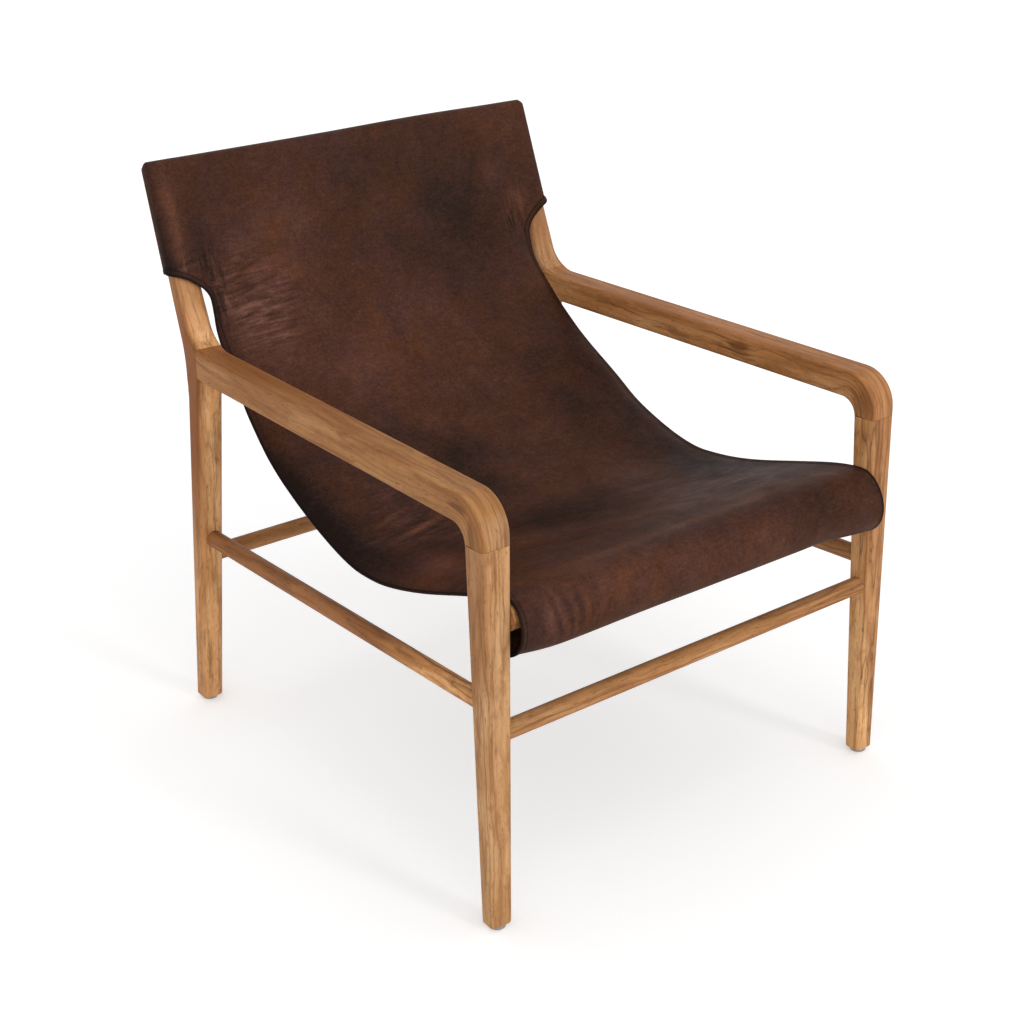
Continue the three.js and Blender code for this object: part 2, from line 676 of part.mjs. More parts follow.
// The loop's end runs back and up to the underside of the seat
function tailCurve() {
  const seat = seatCurve().getSpacedPoints(CURVE_SAMPLES);
  const at = seat.findIndex((p) => p.x <= SEAT_RAIL_Y + LOOP_SEAM);
  const forward = seat[at + 1].clone().sub(seat[at - 1]).normalize();
  const below = point(-forward.y, forward.x);
  const end = seat[at].clone().addScaledVector(below, LEATHER + SEAM_EASE);
  const bottom = slingNose.clone().sub(point(0, LOOP_HEIGHT));
  return new THREE.CubicBezierCurve(
    bottom,
    bottom.clone().add(point(LOOP_BOTTOM_RUN, 0)),
    end.clone().addScaledVector(forward, LOOP_END_RUN),
    end,
  );
}

function slingPath() {
  return [
    slingTop,
    ...backCurve().getSpacedPoints(BACK_ROWS),
    ...seatCurve().getSpacedPoints(SEAT_ROWS).slice(1),
    ...loopPoints().slice(1),
    ...tailCurve().getSpacedPoints(TAIL_ROWS).slice(1),
  ];
}

// Half width of the sling: it fills the gap between the front legs, narrows to keep clear of the arms,
// and widens to the hood in a hollow corner
function slingHalfWidth(p) {
  const seat = sidePoint(1, -STOCK_WIDTH / 2, 0, 0).x - SEAT_EDGE_GAP;
  const back = sidePoint(1, -STOCK_WIDTH / 2, p.x, 0).x - EDGE_GAP;
  const inner = lerp(seat, back, THREE.MathUtils.smoothstep(p.x, TAPER_FRONT, TAPER_REAR));
  const below = slingStart.distanceTo(p) * (p.y > slingStart.y ? -1 : 1);
  const run = THREE.MathUtils.clamp(CUTOUT_RADIUS - below, 0, CUTOUT_RADIUS);
  return inner + CUTOUT_RADIUS - Math.sqrt(CUTOUT_RADIUS ** 2 - run ** 2);
}

// How far the side edge has rolled down at a place along the seat
function edgeDroop(y) {
  const share = THREE.MathUtils.clamp((y - slingNose.x) / (slingStart.x - slingNose.x), 0, 1);
  return EDGE_DROOP * Math.sin(Math.PI * share);
}

function slingSheet() {
  const path = slingPath();
  const upper = [];
  const lower = [];
  path.forEach((p, i) => {
    const before = path[Math.max(i - 1, 0)];
    const after = path[Math.min(i + 1, path.length - 1)];
    const along = after.clone().sub(before).normalize();
    const normal = point(along.y, -along.x);
    const fall = normal.y > 0 ? -edgeDroop(p.x) : edgeDroop(p.x);
    const half = slingHalfWidth(p);
    for (const share of SLING_COLUMNS) {
      const rolled = Math.max(Math.abs(share) * half - half + DROOP_WIDTH, 0) / DROOP_WIDTH;
      const drop = fall * rolled ** 2;
      const place = (offset) => new THREE.Vector3(
        share * half, p.x + normal.x * offset, p.y + normal.y * offset,
      );
      upper.push(place(LEATHER / 2 + drop));
      lower.push(place(drop - LEATHER / 2));
    }
  });
  return sheetGeometry(upper, lower, path.length, SLING_COLUMNS.length);
}

// Closes two facing grids of points into one thin solid
function sheetGeometry(upper, lower, rows, columns) {
  const count = rows * columns;
  const triangles = [];
  const quad = (a, b, c, d) => triangles.push([a, b, c], [a, c, d]);
  for (let i = 0; i + 1 < rows; i += 1) {
    for (let j = 0; j + 1 < columns; j += 1) {
      const a = i * columns + j;
      quad(a, a + 1, a + columns + 1, a + columns);
      quad(count + a, count + a + columns, count + a + columns + 1, count + a + 1);
    }
    const left = i * columns;
    const right = left + columns - 1;
    quad(left, left + columns, count + left + columns, count + left);
    quad(right, count + right, count + right + columns, right + columns);
  }
  const last = (rows - 1) * columns;
  for (let j = 0; j + 1 < columns; j += 1) {
    quad(j, count + j, count + j + 1, j + 1);
    quad(last + j, last + j + 1, count + last + j + 1, count + last + j);
  }
  return closedGeometry([...upper, ...lower], triangles);
}

function leather() {
  const group = new THREE.Group();
  group.add(
    piece('sling', join(hoodFront(), slingSheet()), HIDE),
    piece('hood_back_panel', hoodBackPanel(), HIDE),
  );
  return group;
}

const chair = new THREE.Group();
chair.add(sideFrame(-1, 'left'), sideFrame(1, 'right'), crossRods(), glides(), leather());

// The origin goes under the middle of the whole chair
const box = new THREE.Box3().setFromObject(chair);
const middle = box.getCenter(new THREE.Vector3());
chair.position.set(-middle.x, -middle.y, -box.min.z);

export default chair;
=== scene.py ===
# Looks of the leather sling lounge chair: oiled wood frame, hung leather sling with a hood, pale studio.
import math

import bpy
import numpy as np
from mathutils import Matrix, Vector, noise

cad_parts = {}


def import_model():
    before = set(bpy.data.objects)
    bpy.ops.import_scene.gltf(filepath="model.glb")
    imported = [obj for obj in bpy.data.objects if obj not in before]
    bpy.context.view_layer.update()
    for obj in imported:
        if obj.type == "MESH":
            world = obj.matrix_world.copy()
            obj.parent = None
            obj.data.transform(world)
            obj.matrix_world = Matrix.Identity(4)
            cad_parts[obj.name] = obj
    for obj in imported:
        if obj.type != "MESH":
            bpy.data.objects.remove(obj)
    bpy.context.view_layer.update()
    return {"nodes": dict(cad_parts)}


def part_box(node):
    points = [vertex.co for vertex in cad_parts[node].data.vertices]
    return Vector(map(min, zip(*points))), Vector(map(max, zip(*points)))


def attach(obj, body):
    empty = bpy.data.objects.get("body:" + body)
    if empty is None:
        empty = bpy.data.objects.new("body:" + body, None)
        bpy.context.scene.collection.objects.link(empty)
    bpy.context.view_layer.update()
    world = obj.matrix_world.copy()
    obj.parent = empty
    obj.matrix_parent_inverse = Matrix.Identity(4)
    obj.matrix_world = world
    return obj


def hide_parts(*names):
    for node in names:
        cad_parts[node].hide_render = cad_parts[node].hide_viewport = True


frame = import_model()

MM = 0.001

# Frame sizes in millimetres: those of the solids, apart from some edge roundings
FRONT_HALF_SPACING = 324
REAR_HALF_SPACING = 305
FOOT_SPACING = 710
STOCK_WIDTH = 41
ARM_TOP = 558
ARM_THICKNESS = 38.5
ARM_DROP = 58
CORNER_OUTER_RADIUS = 48
CORNER_INNER_RADIUS = 23
ARM_BLEND_RADIUS = 45
EDGE_RADIUS = 5.2
LEG_FRONT = 1.5
LEG_DEPTH = 35
FOOT_DEPTH = 26
FOOT_WIDTH = 31
FOOT_OFFSET = 3
FOOT_EDGE_RADIUS = 7.5
FOOT_Z = 6.3
END_CHAMFER = 2
BACK_RAKE = 65
BACK_FOOT_DEPTH = 31
POST_DEPTH = 31
POST_SETBACK = 10
LEAN = math.radians(20)
POST_BEND_RADIUS = 150
SLEEVE_RISE = 95
SLEEVE_WIDTH = 36
SLEEVE_DEPTH = 29
POST_REACH = 151.5
POST_TOP_WIDTH = 31
POST_TOP_DEPTH = 27
POST_EDGE_RADIUS = 8.5
SEAT_RAIL_Y = 13
SEAT_RAIL_TOP = 427
ROD_DIAMETER = 24
CREST_DIAMETER = 20
ROD_CHAMFER = 1
RAIL_TENON_RADIUS = 10
RAIL_SHOULDER = 19.6
RAIL_CHAMFER = 1.5
SHOULDER_STEP = 0.01  # run of the rail's shoulder face along it
SEAM_CHAMFER = 0.35  # fine dark line where two pieces of wood butt
JOINT_GAP = 0.1  # distance of an end from its butt joint's plane
BEND_LEAD = 6  # where a post's straight stretch ends, below its bend
# Glide's section: heights above the floor, and how far in from its full radius
GLIDE_PROFILE = ((0, 2.2), (0.35, 1.2), (0.9, 0.4), (1.8, 0), (4.6, 0), (5.4, 0.3), (6, 1))

# Leather sizes in millimetres
LEATHER = 3.0
HOOD_EASE = 1.0  # gap between the hood and the posts' fronts
HOOD_SIDE_EASE = 2.6  # gap between the hood and the posts' sides
HOOD_CORNER = 12.0  # roundness of the hood round a post
HOOD_TOP = 157.5  # top seam above the hood's lower edge, along the lean
HOOD_ROLL = 9.0  # height of the rolled top
HOOD_TOP_INSET = 3.0  # how far the top corners are drawn in
HOOD_TILT = 2.0  # rise of the top seam at the right end, fall at the left end
HOOD_TILT_REACH = 320.0
HOOD_BOW = 2.0  # extra rise of the top seam, right of its middle
HOOD_BOW_PLACE = 130.0
HOOD_BOW_REACH = 130.0
HOOD_DIP = 5.5  # how far the front dips back between the posts
HOOD_DIP_TOP = 2.5  # the same at the crest rail, which is close behind
HOOD_FLARE = 2.5  # outward turn of the hem round a post
EAR_TIP = 8.0  # hem's place at the side seams, above the hood's lower edge
EAR_BEND_S = 12.0  # where the hem starts to turn down beside a post
EAR_BEND_HALF = 300.0
EAR_END_S = 40.0  # where the hem hangs straight down beside a post
EAR_END_HALF = 279.0
EAR_BLEND = 80.0
EDGE_GAP = 3
SEAT_EDGE_GAP = 1
WIDTH_CHANGE = (470, 620)  # places from the front over which the seat's width turns into the back's
BACK_REACH = 190
SEAT_LOW = (305, 369)
SEAT_BACK_ROUND = 75
SEAT_FRONT_ROUND = 110
NOSE_LEVEL = 60
NOSE_OVERHANG = 35
LOOP_HEIGHT = 75.5
LOOP_SEAM = 68
LOOP_BOTTOM_RUN = 45
LOOP_END_RUN = 40
RAIL_EASE = 0.6
SEAM_EASE = 0.8
LOOP_LEFT_PULL = 8.0  # how much nearer the rail the loop's left end lies
LOOP_PULL_WIDTH = 75
LOOP_PULL_LEAD = 8  # where the pull starts, past the nose
LOOP_PULL_POWER = 0.7  # below 1 it sets in faster
LOOP_RIGHT_SAG = 7.5  # how much lower the loop's right end hangs
LOOP_SAG_WIDTH = 110
LOOP_SAG_START = (30, 90)  # places past the nose over which the sag sets in
LOOP_SAG_END = (0, 40)  # places past the loop's bottom over which it ends
LEFT_OUT = 4.0  # how much closer to its post the left edge lies, below the hood
LEFT_OUT_PLACE = 75
LEFT_OUT_REACH = 38
LEFT_OUT_START = (215, 275)  # places left of the middle over which it sets in
HEM = 7.0  # turned edge of the leather
HEM_RISE = 0.9
STITCH_PLACE = 7.6  # groove of the stitches beside the hem
STITCH_WIDTH = 1.1
STITCH_DEPTH = 0.6
CUT_ROUNDING = 0.7  # of the leather's cut edges
HEM_THIN = 0.2  # share of the turned edge that is left along the seat
HEM_THINNING = (120, 260)  # places below the hood over which it gets thin
HEM_LOOP_START = (-20, 20)  # places from the nose over which it gets full again
FREE_EDGE = 12  # distance from an edge that creases and swells keep
LOOP_TOP_END = (-30, 10)  # places from the loop's bottom over which they end
TIGHT_ARC = (268, 280)  # lengths from the middle over which the posts pull the swells flat
TIGHT_S = (30, 10)  # places below the hood over which they do so
SWELL_RUN = 60  # distance from the top seam over which swells set in
FLARE_EDGE = 9  # width of the flared hem
FLARE_ARC = (288, 312)  # lengths from the middle over which the flare sets in
BACK_DIP_RUN = 40  # distance from the top seam over which the hood's back sets in to dip
EDGE_UNIT = 10  # millimetres of the edge distance that the material counts as one

# Fall of the sling's side edges below its middle: places along the sheet from the hood, and falls
LEFT_FALL = ((30, 0), (50, 0), (95, 11), (185, 19), (300, 11), (420, 14), (540, 19), (640, 15), (770, 8))
RIGHT_FALL = (
    (28, 0), (40, 5), (75, 16), (120, 10), (170, 7), (270, 11), (345, 15), (440, 9), (510, 3), (650, 0)
)
FALL_BLUR = (-16, -8, 0, 8, 16)  # shifts over which a fall is evened out
FALL_END = (-40, 20)  # places from the nose over which the falls end
BROAD_FALL_WIDTH = 150
NARROW_FALL_WIDTH = 34
NARROW_SHARE = 0.7

# Worked out from the sizes
ARM_BOTTOM = ARM_TOP - ARM_THICKNESS
JOINT_Z = ARM_TOP - ARM_DROP
POST_FRONT = FOOT_SPACING - BACK_RAKE
SLEEVE_Z = ARM_TOP + SLEEVE_RISE
LEAN_UP = np.array([math.sin(LEAN), math.cos(LEAN)])
LEAN_BACK = np.array([math.cos(LEAN), -math.sin(LEAN)])
TOE = math.asin((FRONT_HALF_SPACING - REAR_HALF_SPACING) / (POST_FRONT + POST_DEPTH / 2))
pad_low, pad_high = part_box("glide_pad_front_left")
ORIGIN_Y = (pad_low.y + pad_high.y) / 2 / MM - FOOT_OFFSET * math.sin(TOE)

# Facets
CORNER_STEPS = 8
BEND_STEPS = 16
ROD_SIDES = 40


def lerp(a, b, share):
    return a + (b - a) * share


def clamp01(value):
    return np.clip(value, 0, 1)


def smooth(value):
    t = clamp01(value)
    return t * t * (3 - 2 * t)


def rise(value, start, end):
    """0 at the start, 1 at the end and past it, with a soft slope between."""
    return smooth((value - start) / (end - start))


def bell(value, middle, reach):
    return np.exp(-(((value - middle) / reach) ** 2))


def unit(vector):
    return vector / np.linalg.norm(vector)


def show(name, data):
    """A new object in the scene."""
    thing = bpy.data.objects.new(name, data)
    bpy.context.scene.collection.objects.link(thing)
    return thing


# Mesh helpers


def to_frame(points):
    """Millimetres from the front feet to metres in the shared frame."""
    return (np.asarray(points, float) + (0, ORIGIN_Y, 0)) * MM


def make_piece(name, points, faces, material, sharp_degrees=40):
    mesh = bpy.data.meshes.new(name)
    mesh.from_pydata([tuple(p) for p in to_frame(points)], [], faces)
    mesh.validate()
    mesh.shade_smooth()
    mesh.set_sharp_from_angle(angle=math.radians(sharp_degrees))
    mesh.materials.append(material)
    piece = show(name, mesh)
    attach(piece, "root")
    return piece


def loft_faces(rings, count):
    faces = []
    for i in range(rings - 1):
        for j in range(count):
            a = i * count + j
            b = i * count + (j + 1) % count
            faces.append((a, b, b + count, a + count))
    faces.append(tuple(reversed(range(count))))
    faces.append(tuple(range((rings - 1) * count, rings * count)))
    return faces


def outward(points, faces):
    """Faces turned so that the closed mesh's normals point out."""
    volume = 0.0
    for face in faces:
        first = points[face[0]]
        for a, b in zip(face[1:], face[2:]):
            volume += np.dot(first, np.cross(points[a], points[b]))
    return faces if volume > 0 else [tuple(reversed(face)) for face in faces]


def store(piece, name, vectors):
    attribute = piece.data.attributes.new(name, "FLOAT_VECTOR", "POINT")
    attribute.data.foreach_set("vector", vectors.astype(np.float32).ravel())


def grain_places(rings):
    """Places in the board: along the rings' middle line, and two ways across it."""
    middles = rings.mean(1)
    along = np.gradient(middles, axis=0)
    along /= np.linalg.norm(along, axis=1)[:, None]
    lies_across = np.abs(along[:, :1]) > 0.9
    helper = np.where(lies_across, (0, 0, 1.0), (1.0, 0, 0))
    third = np.cross(along, helper)
    third /= np.linalg.norm(third, axis=1)[:, None]
    second = np.cross(third, along)
    offset = rings - middles[:, None]
    parts = [np.einsum("ijk,ik->ij", offset, way) for way in (along, second, third)]
    parts[0] += distances(middles)[:, None]
    return np.stack(parts, axis=2)


def loft_piece(node, rings, material, name=None):
    """Closed piece through its rings, in the place of a solid."""
    points = np.concatenate(rings)
    faces = outward(points, loft_faces(len(rings), len(rings[0])))
    piece = make_piece(name or f"wood_{node}", points, faces, material)
    store(piece, "grain", grain_places(np.array(rings)) * MM)
    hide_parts(node)


def side_section(side, start, end, outer, inner, radius, start_radius=None):
    """Round-cornered section from one side-view point to another, turned to its side of the chair."""
    start, end = np.array(start, float), np.array(end, float)
    low, high = (-inner, outer) if side > 0 else (-outer, inner)
    first = radius if start_radius is None else start_radius
    depth = np.linalg.norm(end - start)
    along = (end - start) / depth
    corners = [
        (high - radius, depth - radius, radius),
        (low + radius, depth - radius, radius),
        (low + first, first, first),
        (high - first, first, first),
    ]
    ring = []
    for quarter, (x, d, r) in enumerate(corners):
        for k in range(CORNER_STEPS + 1):
            angle = (quarter + k / CORNER_STEPS) * math.pi / 2
            y, z = start + along * (d + r * math.sin(angle))
            ring.append((x + r * math.cos(angle), y, z))
    x, y, z = np.array(ring).T
    cos, sin = math.cos(TOE), math.sin(TOE) * side
    return np.stack([x * cos - y * sin + side * FRONT_HALF_SPACING, x * sin + y * cos, z], axis=1)


def side_x(outward_by, back):
    """Distance of a place on a side frame from the chair's middle."""
    return FRONT_HALF_SPACING + outward_by * math.cos(TOE) - back * math.sin(TOE)


# Wood pieces


class Taper:
    """Straight stretch of a leg or a post, from its full section down to its foot."""

    def __init__(self, top, front, depth, foot_middle, foot_depth, radii):
        self.top = top
        self.fronts = (front, foot_middle - foot_depth / 2)
        self.backs = (front + depth, foot_middle + foot_depth / 2)
        self.radii = radii

    def share(self, z):
        return (self.top - z) / (self.top - FOOT_Z)

    def front(self, z):
        return lerp(*self.fronts, self.share(z))

    def back(self, z):
        return lerp(*self.backs, self.share(z))

    def section(self, side, z, inset=0.0):
        share = self.share(z)
        feet = (FOOT_WIDTH / 2 + FOOT_OFFSET, FOOT_WIDTH / 2 - FOOT_OFFSET)
        widths = [lerp(STOCK_WIDTH / 2, foot, share) - inset for foot in feet]
        front, back = (self.front(z) + inset, z), (self.back(z) - inset, z)
        return side_section(side, front, back, *widths, lerp(*self.radii, share) - inset)


LEG = Taper(JOINT_Z, LEG_FRONT, LEG_DEPTH, 0, FOOT_DEPTH, (EDGE_RADIUS, FOOT_EDGE_RADIUS))
POST = Taper(
    ARM_BOTTOM, POST_FRONT, POST_DEPTH, FOOT_SPACING, BACK_FOOT_DEPTH, (POST_EDGE_RADIUS, POST_EDGE_RADIUS)
)


def foot_levels():
    """Heights and insets of a foot's rounded lower edge."""
    angles = [math.pi / 2 * k / 4 for k in range(5)]
    return [(FOOT_Z + END_CHAMFER * (1 - math.sin(a)), END_CHAMFER * (1 - math.cos(a))) for a in angles]


def front_leg(side, label, material):
    top = JOINT_Z - JOINT_GAP
    levels = [(top, SEAM_CHAMFER), (top - SEAM_CHAMFER, 0.0)]
    levels += [(lerp(JOINT_Z, FOOT_Z, share), 0.0) for share in (0.1, 0.3, 0.5, 0.7, 0.9)]
    rings = [LEG.section(side, z, inset) for z, inset in levels + foot_levels()]
    loft_piece(f"front_leg_{label}", rings, material)


def blend_centre():
    """Middle of the hollow between an arm's top and its post."""
    face = POST_FRONT + POST_SETBACK + ARM_BLEND_RADIUS * math.tan(LEAN)
    return np.array([face - ARM_BLEND_RADIUS / math.cos(LEAN), ARM_TOP + ARM_BLEND_RADIUS])


def arm_top_at(y):
    centre = blend_centre()
    run = max(y - centre[0], 0)
    return centre[1] - math.sqrt(ARM_BLEND_RADIUS**2 - run**2)


def corner_centre(level, face_at, radius):
    z = level - radius
    slope = face_at(z) - face_at(z - 1)
    return np.array([face_at(z) + radius * math.hypot(1, slope), z])


def arc_point(centre, radius, angle):
    return centre + radius * np.array([-math.sin(angle), math.cos(angle)])


def arm(side, label, material):
    half = STOCK_WIDTH / 2
    rings = []

    def add(top, bottom, inset=0.0):
        top, bottom = np.array(top, float), np.array(bottom, float)
        along = unit(bottom - top)
        start, end = top + along * inset, bottom - along * inset
        rings.append(side_section(side, start, end, half - inset, half - inset, EDGE_RADIUS - inset))

    rear = POST_FRONT - JOINT_GAP
    add((rear, arm_top_at(rear)), (rear, ARM_BOTTOM), SEAM_CHAMFER)
    blend_start = blend_centre()[0]
    for y in np.linspace(rear - SEAM_CHAMFER, blend_start, 7):
        add((y, arm_top_at(y)), (y, ARM_BOTTOM))
    outer = corner_centre(ARM_TOP, LEG.front, CORNER_OUTER_RADIUS)
    inner = corner_centre(ARM_BOTTOM, LEG.back, CORNER_INNER_RADIUS)
    for share in (0.25, 0.5, 0.75):
        add((lerp(blend_start, outer[0], share), ARM_TOP), (lerp(blend_start, inner[0], share), ARM_BOTTOM))
    sweep = math.pi / 2 - math.atan(LEG.front(JOINT_Z) - LEG.front(JOINT_Z - 1))
    for k in range(BEND_STEPS + 1):
        angle = sweep * k / BEND_STEPS
        add(arc_point(outer, CORNER_OUTER_RADIUS, angle), arc_point(inner, CORNER_INNER_RADIUS, angle))
    low = JOINT_Z + JOINT_GAP
    for z, inset in ((low + SEAM_CHAMFER, 0.0), (low, SEAM_CHAMFER)):
        add((LEG.front(z), z), (LEG.back(z), z), inset)
    loft_piece(f"arm_{label}", rings, material)


def lean_point(up, back):
    """Side-view point on a post's lean: up it from the hood's lower edge, and back from its front."""
    start = np.array([POST_FRONT + POST_SETBACK + SLEEVE_RISE * math.tan(LEAN), SLEEVE_Z])
    return start + LEAN_UP * up + LEAN_BACK * back


def lean_depth(up):
    return lerp(SLEEVE_DEPTH, POST_TOP_DEPTH, up / POST_REACH)


def lean_middle(up):
    return lean_point(up, lean_depth(up) / 2)


def lean_half_width(up):
    return lerp(SLEEVE_WIDTH, POST_TOP_WIDTH, up / POST_REACH) / 2


def bend_back_points(count):
    """The hollow of the bend at the back of a post."""
    fall = POST.back(0) - POST.back(1)
    lower = math.atan(fall)
    turn = LEAN + lower
    lean_back = lean_point(0, lean_depth(0))
    slope = math.tan(LEAN)
    meet_z = (POST.back(0) - lean_back[0] + slope * lean_back[1]) / (slope + fall)
    reach = POST_BEND_RADIUS * math.tan(turn / 2)
    start = np.array([POST.back(meet_z), meet_z]) + reach * np.array([math.sin(lower), -math.cos(lower)])
    centre = start + POST_BEND_RADIUS * np.array([math.cos(lower), math.sin(lower)])
    angles = lower - turn * np.linspace(0, 1, count)
    return centre - POST_BEND_RADIUS * np.stack([np.cos(angles), np.sin(angles)], axis=1)


def joint_front_points():
    """Front of a post at the arm: the flat joint, then the hollow, with the edge radius of each point."""
    centre = blend_centre()
    top = arm_top_at(POST_FRONT)
    flat = [
        (POST_FRONT, ARM_BOTTOM, EDGE_RADIUS),
        (POST_FRONT, ARM_BOTTOM + EDGE_RADIUS, SEAM_CHAMFER),
        (POST_FRONT, (ARM_BOTTOM + top) / 2, SEAM_CHAMFER),
        (POST_FRONT, top - EDGE_RADIUS, SEAM_CHAMFER),
        (POST_FRONT, top - EDGE_RADIUS * 0.3, EDGE_RADIUS * 0.5),
    ]
    start = math.asin((POST_FRONT - centre[0]) / ARM_BLEND_RADIUS)
    hollow = []
    for share in np.linspace(0, 1, 9):
        angle = lerp(start, math.pi / 2 - LEAN, share)
        y = centre[0] + ARM_BLEND_RADIUS * math.sin(angle)
        z = centre[1] - ARM_BLEND_RADIUS * math.cos(angle)
        hollow.append((y, z, lerp(EDGE_RADIUS, POST_EDGE_RADIUS, share)))
    return flat + hollow


def back_post(side, label, material):
    fronts = joint_front_points()
    backs = bend_back_points(len(fronts))
    levels = list(reversed(foot_levels()))
    bend_z = backs[0][1] - BEND_LEAD
    levels += [(lerp(FOOT_Z, bend_z, share), 0.0) for share in (0.1, 0.3, 0.5, 0.7, 0.9, 1.0)]
    rings = [POST.section(side, z, inset) for z, inset in levels]

    def add(front, back, half, radius=POST_EDGE_RADIUS, front_radius=None):
        rings.append(side_section(side, front, back, half, half, radius, front_radius))

    hollow_start = 5  # the flat joint has as many points
    for k, (y, z, radius) in enumerate(fronts):
        share = max(k - hollow_start, 0) / (len(fronts) - 1 - hollow_start)
        width = lerp(STOCK_WIDTH / 2, lean_half_width(0), share / 2)
        add((y, z), backs[k], width, front_radius=radius)
    for up in (-30, 0, 50, 100, POST_REACH - END_CHAMFER):
        add(lean_point(up, 0), lean_point(up, lean_depth(up)), min(lean_half_width(up), STOCK_WIDTH / 2))
    front = lean_point(POST_REACH, END_CHAMFER)
    back = lean_point(POST_REACH, lean_depth(POST_REACH) - END_CHAMFER)
    add(front, back, lean_half_width(POST_REACH) - END_CHAMFER, POST_EDGE_RADIUS - END_CHAMFER)
    loft_piece(f"back_post_{label}", rings, material)


def turned(node, stations, start, end, material, name=None):
    """Round piece along a line: stations are distances along it and radii."""
    start, end = np.array(start, float), np.array(end, float)
    along = unit(end - start)
    helper = (0, 0, 1.0) if abs(along[2]) < 0.9 else (1.0, 0, 0)
    across = unit(np.cross(along, helper))
    third = np.cross(along, across)
    angles = np.arange(ROD_SIDES) * 2 * math.pi / ROD_SIDES
    circle = np.cos(angles)[:, None] * across + np.sin(angles)[:, None] * third
    rings = [start + along * t + circle * r for t, r in stations]
    loft_piece(node, rings, material, name)


# Materials


def srgb(red, green, blue):
    def linear(v):
        v /= 255
        return v / 12.92 if v <= 0.04045 else ((v + 0.055) / 1.055) ** 2.4

    return (linear(red), linear(green), linear(blue), 1.0)


class Graph:
    """Short way to write the nodes of a material or a world."""

    def __init__(self, owner):
        owner.use_nodes = True
        self.owner = owner
        self.tree = owner.node_tree

    def add(self, kind, inputs=None, **settings):
        node = self.tree.nodes.new(kind)
        for key, value in settings.items():
            setattr(node, key, value)
        for key, value in (inputs or {}).items():
            self.set(node.inputs[key], value)
        return node

    def set(self, socket, value):
        if isinstance(value, bpy.types.NodeSocket):
            self.tree.links.new(value, socket)
        else:
            socket.default_value = value

    def math(self, operation, a, b, c=0.0):
        return self.add("ShaderNodeMath", {0: a, 1: b, 2: c}, operation=operation).outputs[0]

    def times(self, a, b):
        return self.math("MULTIPLY", a, b)

    def mapping(self, vector, location=(0, 0, 0), rotation=(0, 0, 0), scale=(1, 1, 1)):
        inputs = {"Vector": vector, "Location": location, "Rotation": rotation, "Scale": scale}
        return self.add("ShaderNodeMapping", inputs).outputs[0]

    def attribute(self, name, kind="Fac"):
        return self.add("ShaderNodeAttribute", attribute_name=name).outputs[kind]

    def span(self, value, start, end, share=1.0):
        """Rises from 0 at the start to the share at the end."""
        inputs = {"Value": value, "From Min": start, "From Max": end, "To Max": share}
        return self.add("ShaderNodeMapRange", inputs).outputs[0]

    def ramp(self, value, *stops):
        node = self.add("ShaderNodeValToRGB", {"Fac": value})
        ramp = node.color_ramp
        while len(ramp.elements) < len(stops):
            ramp.elements.new(0.5)
        for element, (place, colour) in zip(ramp.elements, stops):
            element.position = place
            element.color = colour if hasattr(colour, "__len__") else (colour, colour, colour, 1)
        return node.outputs["Color"]

    def mix(self, factor, a, b):
        inputs = {"Factor": factor, "A": a, "B": b}
        return self.add("ShaderNodeMix", inputs, data_type="RGBA").outputs["Result"]

    def noise(self, vector, scale, detail=3.0, roughness=0.55, distortion=0.0):
        inputs = {"Vector": vector, "Scale": scale, "Detail": detail, "Roughness": roughness}
        return self.add("ShaderNodeTexNoise", {**inputs, "Distortion": distortion}).outputs["Fac"]

    def bump(self, height, strength, distance, normal=None):
        inputs = {"Height": height, "Strength": strength, "Distance": distance}
        if normal is not None:
            inputs["Normal"] = normal
        return self.add("ShaderNodeBump", inputs).outputs["Normal"]


# How much noise breaks up a blotch, and where it starts to fade and ends, in shares of its reach
BLOTCH_RAGGED = 3.0
BLOTCH_CORE = 0.3
BLOTCH_END = 0.9


class Surface(Graph):
    """Nodes of a new material, which know their place in the shared frame."""

    def __init__(self, name):
        super().__init__(bpy.data.materials.new(name))
        self.place = self.add("ShaderNodeTexCoord").outputs["Object"]

    def axis(self, letter):
        """Place along one axis of the shared frame, in metres."""
        return self.add("ShaderNodeSeparateXYZ", {"Vector": self.place}).outputs[letter]

    def band(self, letter, start, end, share=1.0):
        """A span along an axis of the shared frame, with its start and its end in metres."""
        return self.span(self.axis(letter), start, end, share)

    def blotch(self, middle, reach, field):
        """Soft spot round a place in metres, with edges broken up by a field of noise."""
        location = [-m / r for m, r in zip(middle, reach)]
        offset = self.mapping(self.place, location, scale=[1 / r for r in reach])
        far = self.add("ShaderNodeVectorMath", {0: offset}, operation="LENGTH").outputs["Value"]
        ragged = self.math("MULTIPLY_ADD", field, -BLOTCH_RAGGED, far)
        return self.span(ragged, BLOTCH_END - BLOTCH_RAGGED / 2, BLOTCH_CORE - BLOTCH_RAGGED / 2)

    def finish(self, **sockets):
        """Sets the sockets of the material's shader, whose names have spaces for the underscores."""
        inputs = self.tree.nodes["Principled BSDF"].inputs
        for key, value in sockets.items():
            self.set(inputs[key.replace("_", " ")], value)
        return self.owner


# Teak: its ground from dark to light, and the tone of its darker places, many of which are painted shade
TEAK_GROUND = ((0.3, (172, 121, 74)), (0.5, (200, 152, 104)), (0.7, (218, 176, 130)))
TEAK_SHADE = srgb(140, 84, 44)
GRAIN_SWAY = (0.0, 0.011, 0.011)  # how far the grain waves, along the board and across it, in metres
VEIN_COUNT = 14.0


